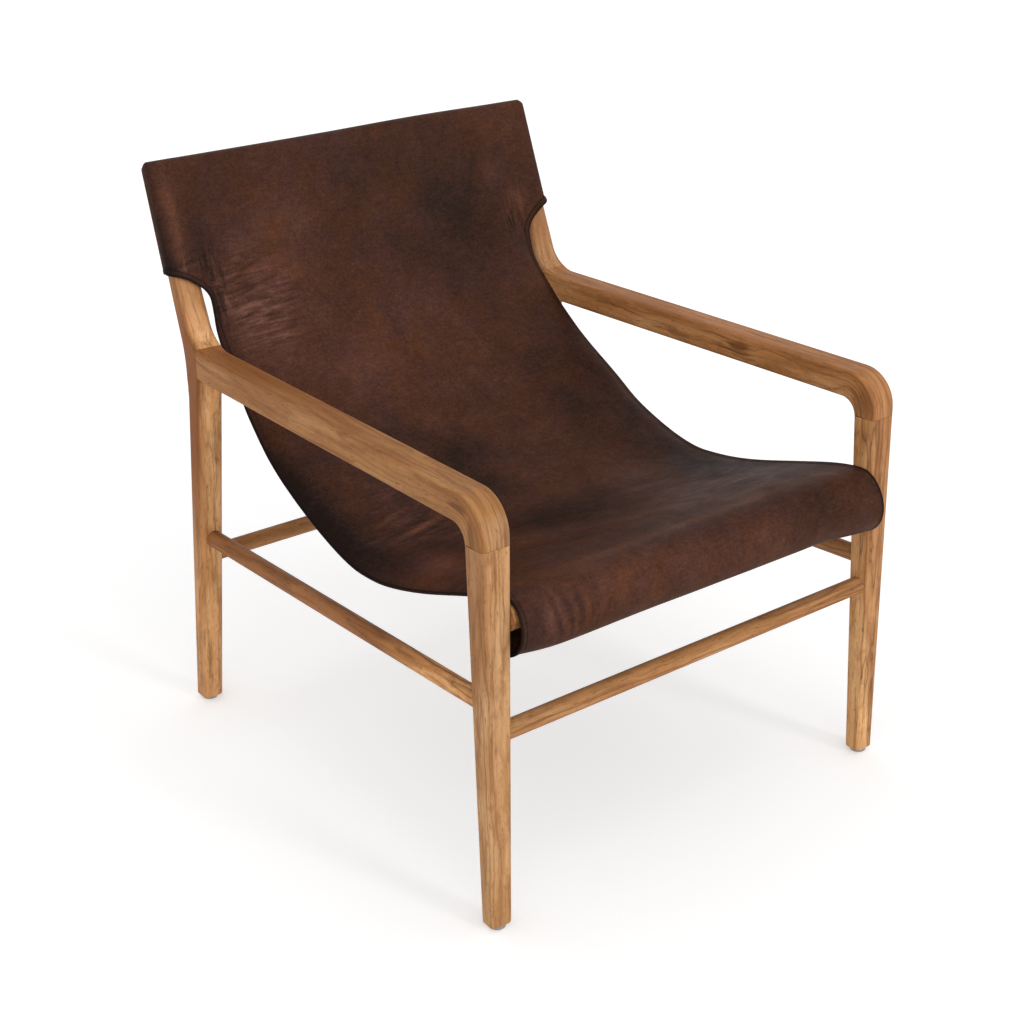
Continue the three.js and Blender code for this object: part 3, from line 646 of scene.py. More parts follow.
def waved_board(g, seed):
    """Places in the board, moved so that the grain waves; the seed moves the figure."""
    straight = g.mapping(g.attribute("grain", "Vector"), location=(1.7 * seed, 0.9 * seed, 0))
    slow = {"Vector": g.mapping(straight, scale=(14, 22, 22)), "Scale": 1.0, "Detail": 2.0}
    waves = g.add("ShaderNodeTexNoise", slow).outputs["Color"]
    moved = {0: waves, 1: GRAIN_SWAY, 2: straight}
    return g.add("ShaderNodeVectorMath", moved, operation="MULTIPLY_ADD").outputs["Vector"]


def teak(name, seed, tint, shade=None, figure=1.0, patches=()):
    """Oiled teak with its grain along the piece."""
    g = Surface(name)
    board = waved_board(g, seed)

    def field(along, across, detail, roughness, distortion=0.0, location=(0, 0, 0)):
        place = g.mapping(board, location, scale=(along, across, across))
        return g.noise(place, 1.0, detail, roughness, distortion)

    tone = field(4.5, 30, 4.0, 0.6, 0.8)
    stain = field(9, 34, 4.0, 0.6, 1.2, (3, 5, 7))
    growth = field(1.9, 30, 2.0, 0.4, 0.3, (7, 3, 1))
    veins = g.math("PINGPONG", g.times(growth, VEIN_COUNT), 1.0)
    streak = field(5, 130, 5.0, 0.65, 0.6)
    ripple = field(38, 60, 3.0, 0.6, 0.8, (2, 8, 4))
    fibre = field(16, 640, 3.0, 0.6)
    pores = g.ramp(field(70, 800, 2.0, 0.5), (0.62, 0.0), (0.71, 0.65))

    ground = [(at, srgb(*(c * t for c, t in zip(rgb, tint)))) for at, rgb in TEAK_GROUND]
    colour = g.ramp(tone, *ground)
    # Darker places from the piece's shade function, much of it painted shade.
    if shade:
        colour = g.mix(shade(g), colour, TEAK_SHADE)
    for middle, reach, depth, patch_colour in patches:
        colour = g.mix(g.times(g.blotch(middle, reach, streak), depth), colour, patch_colour)
    layers = (
        (g.ramp(stain, (0.56, 0.0), (0.72, 0.55)), (138, 88, 50)),
        (g.ramp(veins, (0.0, 0.6 * figure), (0.12, 0.3 * figure), (0.6, 0.0)), (122, 76, 42)),
        (g.ramp(streak, (0.52, 0.0), (0.72, 0.8)), (110, 68, 36)),
        (g.ramp(ripple, (0.52, 0.0), (0.72, 0.4)), (142, 92, 52)),
        (g.ramp(fibre, (0.35, 0.24), (0.62, 0.0)), (138, 90, 52)),
        (pores, (84, 51, 29)),
    )
    for factor, dark in layers:
        colour = g.mix(factor, colour, srgb(*dark))

    height = g.math("SUBTRACT", fibre, g.times(pores, 0.8))
    return g.finish(
        Base_Color=colour,
        Roughness=g.math("MULTIPLY_ADD", streak, 0.2, 0.42),
        Specular_IOR_Level=0.12,
        Normal=g.bump(height, 0.25, 0.0004),
    )


# Darker places of the wood, mostly painted shade on the tops and sides of pieces: each band grows from its
# start to its end, up to its share


# Painted shade on the arms' tops.
def arm_top(g):
    return g.band("Z", start=(ARM_TOP - 9) * MM, end=(ARM_TOP - 1) * MM, share=0.5)


def right_arm_shade(g):
    """The right arm is darker on its top, which is painted shade, and on its front corner."""
    return g.math("MAXIMUM", arm_top(g), g.band("Y", start=-0.33, end=-0.38, share=0.5))


def left_arm_shade(g):
    """The left arm is darker towards the back, and more on its top, where the extra darkening is painted
    shade.
    """
    least = 0.1
    return g.times(g.math("ADD", arm_top(g), least), g.band("Y", start=-0.3, end=0.15))


def left_leg_shade(g):
    """The left leg is darker on the upper part of its outer side: painted shade on that side."""
    upper = g.band("Z", start=0.28, end=0.43, share=0.5)
    return g.times(upper, g.band("X", start=-0.333, end=-0.34))


def right_leg_shade(g):
    """The right leg is darker on the upper part of its front face: painted shade on that face."""
    ahead = g.add("ShaderNodeSeparateXYZ", {"Vector": g.attribute("grain", "Vector")}).outputs["Z"]
    upper = g.band("Z", start=0.08, end=0.3, share=0.55)
    return g.times(upper, g.span(ahead, start=0.007, end=0.013))


def left_rod_shade(g):
    """The left rod is darker behind its front third; with the rod's lighter tint, this paints light on the
    front third.
    """
    return g.band("Y", start=-0.24, end=-0.13, share=0.8)


def post_shade(g):
    """A post is darker above the arm and on its outer side, which is painted shade, and darker at its foot.
    """
    outer = g.span(g.math("ABSOLUTE", g.axis("X"), 0.0), start=0.316, end=0.324)
    side = g.times(outer, g.band("Z", start=0.10, end=0.40))
    top = g.band("Z", start=0.56, end=0.62, share=0.55)
    foot = g.band("Z", start=0.22, end=0.08, share=0.25)
    return g.math("MAXIMUM", g.math("ADD", foot, top), side)


RUCK_SLOPE = 0.08  # slant of the fine rucks across the sheet, in radians
LEATHER_LEVEL = 0.55
# Leather's colours from dark to light, dull and warm, and their levels
LEATHER_PLACES = (0.24, 0.38, 0.55, 0.72, 0.91)
LEATHER_DULL = ((31, 22, 19), (48, 33, 28), (70, 44, 37), (91, 59, 49), (115, 80, 68))
LEATHER_WARM = ((33, 22, 17), (51, 32, 24), (73, 44, 29), (95, 56, 36), (118, 74, 50))


def leather_material():
    """Waxed dark brown hide: clouded, finely grained, rucked, and darker along its turned edges, with painted
    highlight and painted shade on its creases, its rucks, its stitch groove and in places over the sheet.
    """
    g = Surface("leather_hide")
    edge, crease, tone = g.attribute("edge"), g.attribute("crease"), g.attribute("tone")
    sheet = g.attribute("flat", "Vector")
    patch = g.noise(g.place, 6.0, 3.0, 0.55, 0.4)
    cloud = g.noise(g.place, 21.0, 5.0, 0.62, 0.7)
    mottle = g.noise(g.place, 110.0, 3.0, 0.6, 0.4)
    grain = g.noise(g.place, 260.0, 4.0, 0.7)
    weave = g.noise(g.mapping(g.place, rotation=(0, 0.4, 0), scale=(60, 60, 420)), 1.0, 3.0, 0.6)
    warmth = g.noise(g.mapping(g.place, location=(4, 1, 2)), 13.0, 3.0, 0.6, 0.5)
    pebble = g.add("ShaderNodeTexVoronoi", {"Vector": g.place, "Scale": 520.0}, feature="SMOOTH_F1")
    slanted = g.mapping(sheet, rotation=(0, 0, RUCK_SLOPE))
    across = g.noise(g.mapping(slanted, scale=(24, 165, 1)), 1.0, 2.0, 0.5, 1.0)
    along = g.noise(g.mapping(sheet, scale=(200, 24, 1)), 1.0, 2.0, 0.5, 1.0)
    # Fine rucks: bumps, and painted highlight and painted shade streaked into the colour.
    rucks = 0.0
    for field, name in ((across, "rucks_across"), (along, "rucks_along")):
        rucks = g.math("MULTIPLY_ADD", g.math("SUBTRACT", field, 0.5), g.attribute(name), rucks)

    shares = ((patch, 0.28), (cloud, 0.24), (mottle, 0.2), (grain, 0.42), (weave, 0.17))
    level = LEATHER_LEVEL - sum(share for _, share in shares) / 2
    # The tone attribute holds the hide's uneven tone together with painted highlight and painted shade; the
    # crease attribute and the rucks add painted highlight and painted shade on the folds.
    for field, share in (*shares, (tone, 0.4), (crease, 0.25), (rucks, 1.0)):
        level = g.math("MULTIPLY_ADD", field, share, level)
    dull, warm = (
        g.ramp(level, *[(at, srgb(*shade)) for at, shade in zip(LEATHER_PLACES, shades)])
        for shades in (LEATHER_DULL, LEATHER_WARM)
    )
    # Where rucks run across, the hide turns greyer: painted sheen on their fine folds.
    warmth_less_sheen = g.math("MULTIPLY_ADD", g.attribute("rucks_across"), -0.25, warmth)
    base = g.mix(g.ramp(warmth_less_sheen, (0.34, 0.0), (0.66, 1.0)), dull, warm)
    # Darker cut edges and turned roll; the darkest line, in the stitch groove beside the roll, is painted
    # shade.
    cut = g.ramp(edge, (0.2, 0.85), (0.4, 0.0))
    roll = g.ramp(edge, (0.1, 0.0), (0.26, 0.35), (0.6, 0.3), (0.76, 0.75), (1.05, 0.0))
    hem = g.math("MAXIMUM", cut, g.times(roll, g.attribute("hem")))
    colour = g.mix(hem, base, srgb(24, 16, 14))

    fine = g.bump(pebble.outputs["Distance"], 0.3, 0.0004)
    grained = g.bump(grain, 0.3, 0.0009, fine)
    normal = g.bump(rucks, 0.5, 0.003, grained)
    rough = g.ramp(cloud, (0.3, 0.6), (0.7, 0.46))
    return g.finish(Base_Color=colour, Roughness=rough, Specular_IOR_Level=0.035, Normal=normal)


def plastic_material():
    g = Surface("glide_plastic")
    grain = g.noise(g.place, 900.0, 2.0)
    colour = g.ramp(grain, (0.3, srgb(128, 126, 123)), (0.7, srgb(158, 156, 152)))
    return g.finish(Base_Color=colour, Roughness=0.4, Normal=g.bump(grain, 0.2, 0.0002))


def dowel_material():
    """Raw pale wood of the hidden dowels."""
    g = Surface("dowel_wood")
    fibre = g.noise(g.mapping(g.place, scale=(500, 60, 60)), 1.0, 3.0, 0.6)
    colour = g.ramp(fibre, (0.35, srgb(186, 148, 104)), (0.65, srgb(214, 180, 138)))
    normal = g.bump(fibre, 0.2, 0.0003)
    return g.finish(Base_Color=colour, Roughness=0.6, Specular_IOR_Level=0.12, Normal=normal)


def steel_material():
    g = Surface("nail_steel")
    brushed = g.noise(g.mapping(g.place, scale=(900, 900, 60)), 1.0)
    colour = g.ramp(brushed, (0.3, srgb(150, 150, 148)), (0.7, srgb(186, 186, 184)))
    return g.finish(Base_Color=colour, Roughness=g.math("MULTIPLY_ADD", brushed, 0.2, 0.25), Metallic=1.0)


# Leather


def bezier(points):
    """Points along a cubic curve."""
    p0, p1, p2, p3 = (np.array(p, float) for p in points)
    t = np.linspace(0, 1, 400)[:, None]
    return p0 * (1 - t) ** 3 + 3 * p1 * t * (1 - t) ** 2 + 3 * p2 * t * t * (1 - t) + p3 * t**3


def distances(line):
    return np.r_[0, np.cumsum(np.linalg.norm(np.diff(line, axis=0), axis=1))]


class Path:
    """Side view of the sling's mid surface, from the hood's lower edge to the end of the front loop."""

    def __init__(self):
        start = lean_point(0, -HOOD_EASE - LEATHER / 2)
        low = np.array(SEAT_LOW, float)
        nose = np.array([SEAT_RAIL_Y, SEAT_RAIL_TOP + RAIL_EASE + LEATHER / 2])
        back = bezier([start, start - LEAN_UP * BACK_REACH, low + (SEAT_BACK_ROUND, 0), low])
        seat = bezier([low, low - (SEAT_FRONT_ROUND, 0), nose + (NOSE_LEVEL, 0), nose])
        angles = np.linspace(0, math.pi, 200)[:, None]
        swing = np.concatenate([-NOSE_OVERHANG * np.sin(angles), LOOP_HEIGHT / 2 * np.cos(angles)], axis=1)
        loop = nose - (0, LOOP_HEIGHT / 2) + swing
        at = int(np.argmax(seat[:, 0] <= SEAT_RAIL_Y + LOOP_SEAM))
        forward = unit(seat[at + 1] - seat[at - 1])
        end = seat[at] + (LEATHER + SEAM_EASE) * np.array([-forward[1], forward[0]])
        bottom = nose - (0, LOOP_HEIGHT)
        tail = bezier([bottom, bottom + (LOOP_BOTTOM_RUN, 0), end + forward * LOOP_END_RUN, end])
        self.line = np.concatenate([back, seat[1:], loop[1:], tail[1:]])
        self.steps = distances(self.line)
        self.nose = self.steps[len(back) + len(seat) - 2]
        self.bottom = self.steps[len(back) + len(seat) + len(loop) - 3]
        self.end = self.steps[-1]
        self.seam = self.steps[len(back) - 1 + at]

    def point(self, s):
        return np.array([np.interp(s, self.steps, self.line[:, k]) for k in range(2)])

    def normal(self, s):
        """Direction out of the leather's smooth side."""
        y, z = unit(self.point(s + 2) - self.point(s - 2))
        return np.array([z, -y])


def sling_half_width(y):
    seat = side_x(-STOCK_WIDTH / 2, 0) - SEAT_EDGE_GAP
    back = side_x(-STOCK_WIDTH / 2, y) - EDGE_GAP
    return lerp(seat, back, rise(y, *WIDTH_CHANGE))


def hood_section(up, arc):
    """Half of the hood's section at lengths from the middle: place across, and distance out from mid depth.

    Its half depth and its whole length follow.
    """
    roll = clamp01((up - (HOOD_TOP - HOOD_ROLL)) / HOOD_ROLL)
    depth = (lean_depth(up) / 2 + HOOD_EASE + LEATHER / 2) * math.sqrt(max(1 - roll**2, 0))
    post = side_x(lean_half_width(up), lean_middle(up)[0])
    half = post + HOOD_SIDE_EASE + LEATHER / 2 - HOOD_TOP_INSET * roll**3
    corner = min(HOOD_CORNER, depth)
    flat = half - corner
    turn = corner * math.pi / 2
    run = np.abs(arc)
    angle = np.clip((run - flat) / max(turn, 1e-6), 0, 1) * math.pi / 2
    past = np.maximum(run - flat - turn, 0)
    across = np.sign(arc) * (np.minimum(run, flat) + corner * np.sin(angle))
    out = depth - corner * (1 - np.cos(angle)) - past
    return across, out, depth, flat + turn + max(depth - corner, 0)


def half_length(s, path):
    """Half of the sheet's flat width at a distance below the hood's lower edge."""
    seam = hood_section(max(-s, EAR_TIP), np.zeros(1))[3]
    if s <= -EAR_TIP:
        return seam
    bend = EAR_BEND_HALF - EAR_END_HALF
    drop = EAR_END_S - EAR_BEND_S
    slope = 2 * bend / drop
    if s < EAR_BEND_S:
        left = EAR_BEND_S - s
        whole = EAR_BEND_S + EAR_TIP
        return EAR_BEND_HALF + slope * left + (seam - EAR_BEND_HALF - slope * whole) * (left / whole) ** 2
    if s < EAR_END_S:
        return EAR_END_HALF + bend * ((EAR_END_S - s) / drop) ** 2
    return lerp(EAR_END_HALF, sling_half_width(path.point(s)[0]), rise(s, EAR_END_S, EAR_END_S + EAR_BLEND))


EDGE_STEPS = np.array([0, 1.0, 2.2, 3.5, 4.8, 6.0, 7.0, 8.0, 9.2, 11.0, 14.0, 18.0, 23.0, 29.0])
MIDDLE_COLUMNS = 111
BUNCHING = 1.1  # columns lie closer together towards the sides
BACK_COLUMNS = 161


def columns(half):
    """Places across the sheet: close together in the turned edges and beside them."""
    inner = half - EDGE_STEPS[-1]
    share = np.linspace(-1, 1, MIDDLE_COLUMNS)[1:-1]
    middle = inner * np.sin(share * BUNCHING) / math.sin(BUNCHING)
    return np.r_[-half + EDGE_STEPS, middle, half - EDGE_STEPS[::-1]]


def spaced(start, end, step):
    return np.linspace(start, end, round(abs(end - start) / step) + 1)[:-1]


def rolled_levels():
    return HOOD_TOP - HOOD_ROLL * (1 - np.cos(np.linspace(0, math.pi / 2, 8)))


def row_levels(path):
    """Distances of the rows below the hood's lower edge, from the top seam to the loop's end."""
    *rows, start = -rolled_levels()
    ends = (-50, 5), (-EAR_TIP, 3), (EAR_END_S + 20, 2), (160, 3), (path.nose - 60, 5), (path.end, 4)
    for end, step in ends:
        rows.extend(spaced(start, end, step))
        start = end
    return np.array([*rows, path.end])


DIP_CHANGE = (35, 90)  # heights between which the hood's dip turns into its dip at the top
DIP_START = (-90, -10)  # heights over which it sets in
DIP_BESIDE_POST = (-4, 30)  # distances inside a post over which it sets in


def hood_dip(up, across):
    """How far the leather lies back between the posts."""
    post = side_x(-SLEEVE_WIDTH / 2, lean_point(up, 0)[0])
    depth = lerp(HOOD_DIP, HOOD_DIP_TOP, rise(up, *DIP_CHANGE)) * rise(up, *DIP_START)
    return depth * rise(post - np.abs(across), *DIP_BESIDE_POST)


def hood_lift(up, across):
    """How much higher the hood lies towards its right end."""
    bow = HOOD_BOW * bell(across, HOOD_BOW_PLACE, HOOD_BOW_REACH)
    return (HOOD_TILT * across / HOOD_TILT_REACH + bow) * rise(up, 0, HOOD_TOP)


def fall_at(s, falls):
    places, values = zip(*falls)
    return float(np.mean([np.interp(s + shift, places, values) for shift in FALL_BLUR]))


def edge_fall(s, across, half, path):
    """Fall of the sides below the middle; the loop's tail follows the seat above it."""
    if s > path.bottom:
        seat_s, fade = path.seam + path.end - s, -rise(s, path.bottom, path.end)
    else:
        seat_s, fade = s, 1 - rise(s - path.nose, *FALL_END)
    near = half - np.abs(across)
    broad = clamp01(1 - near / BROAD_FALL_WIDTH) ** 2
    narrow = clamp01(1 - near / NARROW_FALL_WIDTH) ** 2
    shape = lerp(broad, narrow, NARROW_SHARE)
    fall = np.where(across < 0, fall_at(seat_s, LEFT_FALL), fall_at(seat_s, RIGHT_FALL))
    return fade * fall * shape


def loop_pull(s, across, half, path):
    """How far the loop's left end is drawn in towards the rail, and its right end hangs out."""
    share = clamp01((s - path.nose - LOOP_PULL_LEAD) / (path.bottom - path.nose + LOOP_PULL_LEAD))
    pull = LOOP_LEFT_PULL * math.sin(math.pi * share) ** LOOP_PULL_POWER
    hanging = rise(s - path.nose, *LOOP_SAG_START) * (1 - rise(s - path.bottom, *LOOP_SAG_END))
    left = clamp01(1 - (across + half) / LOOP_PULL_WIDTH) ** 2
    right = smooth(1 - (half - across) / LOOP_SAG_WIDTH)
    return pull * left - LOOP_RIGHT_SAG * hanging * right


def left_out(s, across):
    """How far the left edge is moved out towards its post, below the hood."""
    return LEFT_OUT * bell(s, LEFT_OUT_PLACE, LEFT_OUT_REACH) * rise(-across, *LEFT_OUT_START)


EDGE_STEP = 0.5
EDGE_LIMIT = 60.0  # larger distances from an edge are not told apart


def edge_distance(arc, levels, halves):
    """Distance of each point from the sheet's free side edges, measured on the flat sheet."""
    free = levels >= -EAR_TIP
    steps = distances(np.stack([halves[free], levels[free]], axis=1))
    wanted = np.arange(0, steps[-1], EDGE_STEP)
    line = np.stack([np.interp(wanted, steps, values[free]) for values in (halves, levels)], axis=1)
    result = np.full(arc.shape, EDGE_LIMIT)
    for i, s in enumerate(levels):
        near = line[np.abs(line[:, 1] - s) < EDGE_LIMIT]
        if len(near):
            apart = np.hypot(np.abs(arc[i])[:, None] - near[:, 0], s - near[:, 1])
            result[i] = np.minimum(apart.min(1), EDGE_LIMIT)
    return result


def hem_height(edge):
    """Rise of a turned edge, and the groove of the stitches beside it."""
    roll = np.sqrt(np.clip(np.sin(math.pi * clamp01(edge / HEM)), 0, 1))
    return HEM_RISE * roll - STITCH_DEPTH * bell(edge, STITCH_PLACE, STITCH_WIDTH)


def hem_weight(arc, s, path):
    """The turned edge is full round the posts and at the loop's left end, and thin along the seat."""
    posts = 1 - rise(s, *HEM_THINNING)
    loop = rise(s - path.nose, *HEM_LOOP_START) * (arc < 0)
    return lerp(HEM_THIN, 1.0, np.maximum(posts, loop))


def noise_field(a, b, seed):
    """Smooth noise at pairs of places."""
    values = [noise.noise(Vector((p, q, seed))) for p, q in zip(a.ravel(), b.ravel())]
    return np.array(values).reshape(a.shape)


# Zones of creases on the flat sheet: middle across and along, reach across and along,
# the point that they spread from, their spacing and height
CREASES = (
    ((-205, 50), (62, 56), (-900, 120), 12, 0.9),
    ((-262, 25), (18, 50), (-262, 2500), 7, 0.3),
    ((-296, -16), (26, 13), (-420, 20), 8, 0.4),
    ((262, 10), (16, 40), (255, 2500), 8, 0.25),
    ((-170, 470), (75, 80), (-900, 640), 13, 0.3),
    ((200, 660), (90, 85), (-900, 760), 11, 0.28),
    ((-230, 850), (70, 30), (-230, 3000), 13, 0.2),
)
FOLD_LENGTH = 6  # length of a crease, in its spacings
# Broad unevenness of the hide: sizes of its swells and their heights
SWELLS = ((190, 1.6), (85, 0.6))
# Lighter and darker places on the flat sheet: middle, reach and amount. They mix the hide's own uneven tone
# with painted light: painted highlight over the left post, on the back's left and along the nose's ridge, and
# painted shade along the left edge, beside the post and above the arm
TONES_AND_PAINTED_LIGHT = (
    ((-215, 60), (62, 70), 0.5),
    ((-165, -28), (42, 52), 0.3),
    ((-120, 190), (130, 90), 0.12),
    ((-100, 295), (40, 35), -0.35),
    ((-52, 370), (45, 40), -0.5),
    ((165, 5), (92, 88), -0.5),
    ((200, 290), (70, 110), -0.2),
    ((232, -62), (17, 20), 0.4),
    ((268, -16), (18, 18), 0.45),
    ((-307, -75), (8, 60), 0.4),
    ((-336, -60), (14, 80), -0.5),
    ((-283, -50), (26, 65), -0.2),
    ((-327, -15), (12, 30), -0.5),
    ((-275, 60), (16, 70), -0.5),
    ((-300, 290), (20, 80), -0.6),
    ((-300, 430), (42, 110), -0.9),
    ((-270, 620), (45, 40), 0.2),
    ((-240, 585), (34, 40), 0.42),
    ((-262, 530), (35, 50), -0.25),
    ((-25, 560), (110, 65), -0.45),
    ((-120, 604), (40, 35), 0.3),
    ((60, 665), (90, 40), 0.12),
    ((20, 774), (280, 8), 0.3),
    ((45, 20), (40, 50), -0.2),
    ((-250, 5), (14, 35), -0.15),
    ((-215, -120), (40, 40), -0.2),
    ((-110, 828), (120, 45), 0.33),
    ((94, 846), (40, 25), 0.25),
    ((205, 820), (90, 40), -0.35),
    ((254, 800), (30, 30), 0.3),
    ((255, 530), (55, 140), -0.5),
    ((60, -100), (200, 55), -0.12),
    ((284, 345), (24, 75), -0.3),
    ((-45, 440), (40, 30), -0.45),
    ((135, 400), (60, 40), -0.2),
    ((-62, 285), (40, 25), 0.25),
)
# The same for the fine rucks that run across the sheet, and for those that run along it; besides their bumps,
# they paint light and dark streaks into the colour, which are painted highlight and painted shade
RUCKS_ACROSS = (((-212, 55), (60, 68), 1.0), ((200, 640), (90, 80), 0.6), ((-180, 470), (75, 80), 0.4))
RUCKS_ALONG = (((-262, 20), (16, 55), 0.9), ((-300, -14), (26, 13), 0.5), ((258, 12), (14, 30), 0.9))
SPOTS = {"tone": TONES_AND_PAINTED_LIGHT, "rucks_across": RUCKS_ACROSS, "rucks_along": RUCKS_ALONG}


def window(arc, s, middle, reach):
    return bell(arc, middle[0], reach[0]) * bell(s, middle[1], reach[1])


def creases(arc, s):
    """Height of the creases, and their painted shading: painted highlight on the crests and painted shade in
    the hollows.
    """
    height, crest = np.zeros_like(arc), np.zeros_like(arc)
    for seed, (middle, reach, spread, spacing, size) in enumerate(CREASES):
        there = window(arc, s, middle, reach)
        apart = math.dist(middle, spread)
        run = np.hypot(arc - spread[0], s - spread[1])
        turn = np.arctan2(s - spread[1], arc - spread[0])
        first = math.atan2(middle[1] - spread[1], middle[0] - spread[0])
        across = (np.mod(turn - first + math.pi, 2 * math.pi) - math.pi) * apart
        field = noise_field(across / spacing, run / spacing / FOLD_LENGTH, 3.7 * seed + 0.5)
        folds = 2 * np.abs(field) - 0.5
        height += size * folds * there
        crest += folds * there
    return height, crest


def swells(arc, s):
    total = np.zeros_like(arc)
    for seed, (size, height) in enumerate(SWELLS):
        total += height * noise_field(arc / size, s / size, 20.3 + seed)
    return total


def spots(arc, s, places):
    return sum(amount * window(arc, s, middle, reach) for middle, reach, amount in places)


def row_points(across, origin, direction, out, lift):
    """Points of a row across the sheet, at distances out from an origin in the side view."""
    return np.stack([across, origin[0] + direction[0] * out, origin[1] + direction[1] * out + lift], axis=1)


def sling_grid(path, levels, halves):
    """Points of the sheet before its creases, and their lengths from the middle."""
    points, arcs = [], []
    for s, half in zip(levels, halves):
        arc = columns(half)
        across, out, depth, _ = hood_section(-s, arc)
        if s <= 0:
            origin, normal = lean_middle(-s), -LEAN_BACK
        else:
            normal = path.normal(s)
            origin = path.point(s) - normal * depth
        place = s, across, half, path
        raised = out - hood_dip(-s, across) - edge_fall(*place) - loop_pull(*place)
        points.append(row_points(across - left_out(s, across), origin, normal, raised, hood_lift(-s, across)))
        arcs.append(arc)
    return np.array(points), np.array(arcs)


def grid_normals(points):
    """Directions out of the smooth side of a grid of points."""
    normals = np.cross(np.gradient(points, axis=0), np.gradient(points, axis=1))
    return normals / np.maximum(np.linalg.norm(normals, axis=2), 1e-9)[..., None]


def grid_faces(rows, count):
    faces = []
    for i in range(rows - 1):
        for j in range(count - 1):
            a = i * count + j
            faces.append((a, a + count, a + count + 1, a + 1))
    return faces


def leather_piece(name, node, points, flat, values, material):
    """A sheet of leather made from a grid of points, in the place of a solid."""
    faces = grid_faces(*points.shape[:2])
    piece = make_piece(name, points.reshape(-1, 3), faces, material, 80)
    for key, value in values.items():
        attribute = piece.data.attributes.new(key, "FLOAT", "POINT")
        attribute.data.foreach_set("value", np.asarray(value, np.float32).ravel())
    store(piece, "flat", np.concatenate([flat * MM, np.zeros_like(flat[..., :1])], axis=2))
    solid = piece.modifiers.new("thickness", "SOLIDIFY")
    solid.thickness = LEATHER * MM
    solid.offset = 0
    bevel = piece.modifiers.new("cut_edge", "BEVEL")
    bevel.width = CUT_ROUNDING * MM
    bevel.segments = 2
    bevel.limit_method = "ANGLE"
    bevel.angle_limit = math.radians(60)
    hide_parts(node)
    flat = flat.reshape(-1, 2)


def sling(material):
    path = Path()
    levels = row_levels(path)
    halves = np.array([half_length(s, path) for s in levels])
    points, arc = sling_grid(path, levels, halves)
    s = np.repeat(levels[:, None], arc.shape[1], axis=1)
    edge = edge_distance(arc, levels, halves)
    inside = rise(edge, 0, FREE_EDGE)
    on_top = 1 - rise(s - path.bottom, *LOOP_TOP_END)
    on_posts = rise(np.abs(arc), *TIGHT_ARC) * rise(s, *TIGHT_S)
    fold, crest = creases(arc, s)
    loose = swells(arc, s) * (1 - on_posts) * rise(s + HOOD_TOP, 0, SWELL_RUN)
    flare = HOOD_FLARE * (1 - rise(edge, 0, FLARE_EDGE)) * rise(np.abs(arc), *FLARE_ARC)
    hem = hem_weight(arc, s, path)
    height = hem_height(edge) * hem + (fold + loose) * inside * on_top + flare
    points = points + height[..., None] * grid_normals(points)
    flat = np.stack([arc, s], axis=2)
    values = {key: spots(arc, s, places) for key, places in SPOTS.items()}
    # The crease attribute is painted highlight on the creases' crests and painted shade in their hollows.
    values.update({"edge": edge / EDGE_UNIT, "hem": hem, "crease": crest * on_top})
    leather_piece("leather_sling", "sling", points, flat, values, material)


def hood_back(material):
    """Back of the hood, from one side seam round to the other."""
    *rolled, start = rolled_levels()
    hem_top = EAR_TIP + 2 * HEM
    ups = np.r_[rolled, spaced(start, hem_top, 6), spaced(hem_top, EAR_TIP, 1.5), EAR_TIP]
    share = np.linspace(-1, 1, BACK_COLUMNS)
    rows, arcs = [], []
    for up in ups:
        total = hood_section(up, np.zeros(1))[3]
        across, out, _, _ = hood_section(up, share * total)
        out = out - hood_dip(up, across) * rise(HOOD_TOP - up, 0, BACK_DIP_RUN) + hem_height(up - EAR_TIP)
        rows.append(row_points(across, lean_middle(up), LEAN_BACK, out, hood_lift(up, across)))
        arcs.append(share * total)
    points, arc = np.array(rows)[:, ::-1], np.array(arcs)
    up = np.repeat(ups[:, None], arc.shape[1], axis=1)
    flat = np.stack([arc, -up], axis=2)
    none = np.zeros_like(arc)
    values = {key: none for key in SPOTS}
    values.update({"edge": (up - EAR_TIP) / EDGE_UNIT, "hem": none + 1, "crease": none})
    leather_piece("leather_hood_back", "hood_back_panel", points, flat, values, material)


# Putting the chair together


def from_frame(vectors):
    """Metres in the shared frame to millimetres from the front feet."""
    return np.asarray(vectors, float) / MM - (0, ORIGIN_Y, 0)


def both_ends(ends, inner, length):
    """Stations of a round piece with the same shape at both ends."""
    return [*ends, *inner, *[(length - t, r) for t, r in reversed(ends)]]


def plain_rod(node, axis, diameter, material):
    """A rod between the middles of its solid's two ends."""
    verts = from_frame([v.co for v in frame["nodes"][node].data.vertices])
    middle = (verts[:, axis].min() + verts[:, axis].max()) / 2
    start, end = verts[verts[:, axis] < middle].mean(0), verts[verts[:, axis] > middle].mean(0)
    length = np.linalg.norm(end - start)
    radius = diameter / 2
    ends = [(0, radius - ROD_CHAMFER), (ROD_CHAMFER, radius)]
    inner = [(length * k / 6, radius) for k in range(1, 6)]
    turned(node, both_ends(ends, inner, length), start, end, material)


def box_line(node, axis):
    """Ends of a round solid's middle line, and its box's size."""
    low, high = from_frame(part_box(node))
    start, end = (low + high) / 2, (low + high) / 2
    start[axis], end[axis] = low[axis], high[axis]
    return start, end, high - low


def seat_rail(material):
    start, end, size = box_line("front_seat_rail", 0)
    length, radius = size[0], size[2] / 2
    tenon = RAIL_TENON_RADIUS
    ends = [(0, tenon - ROD_CHAMFER), (ROD_CHAMFER, tenon), (RAIL_SHOULDER - SHOULDER_STEP, tenon)]
    ends += [(RAIL_SHOULDER, radius - RAIL_CHAMFER), (RAIL_SHOULDER + RAIL_CHAMFER, radius)]
    inner = [(length * share, radius) for share in (0.25, 0.5, 0.75)]
    turned("front_seat_rail", both_ends(ends, inner, length), start, end, material)


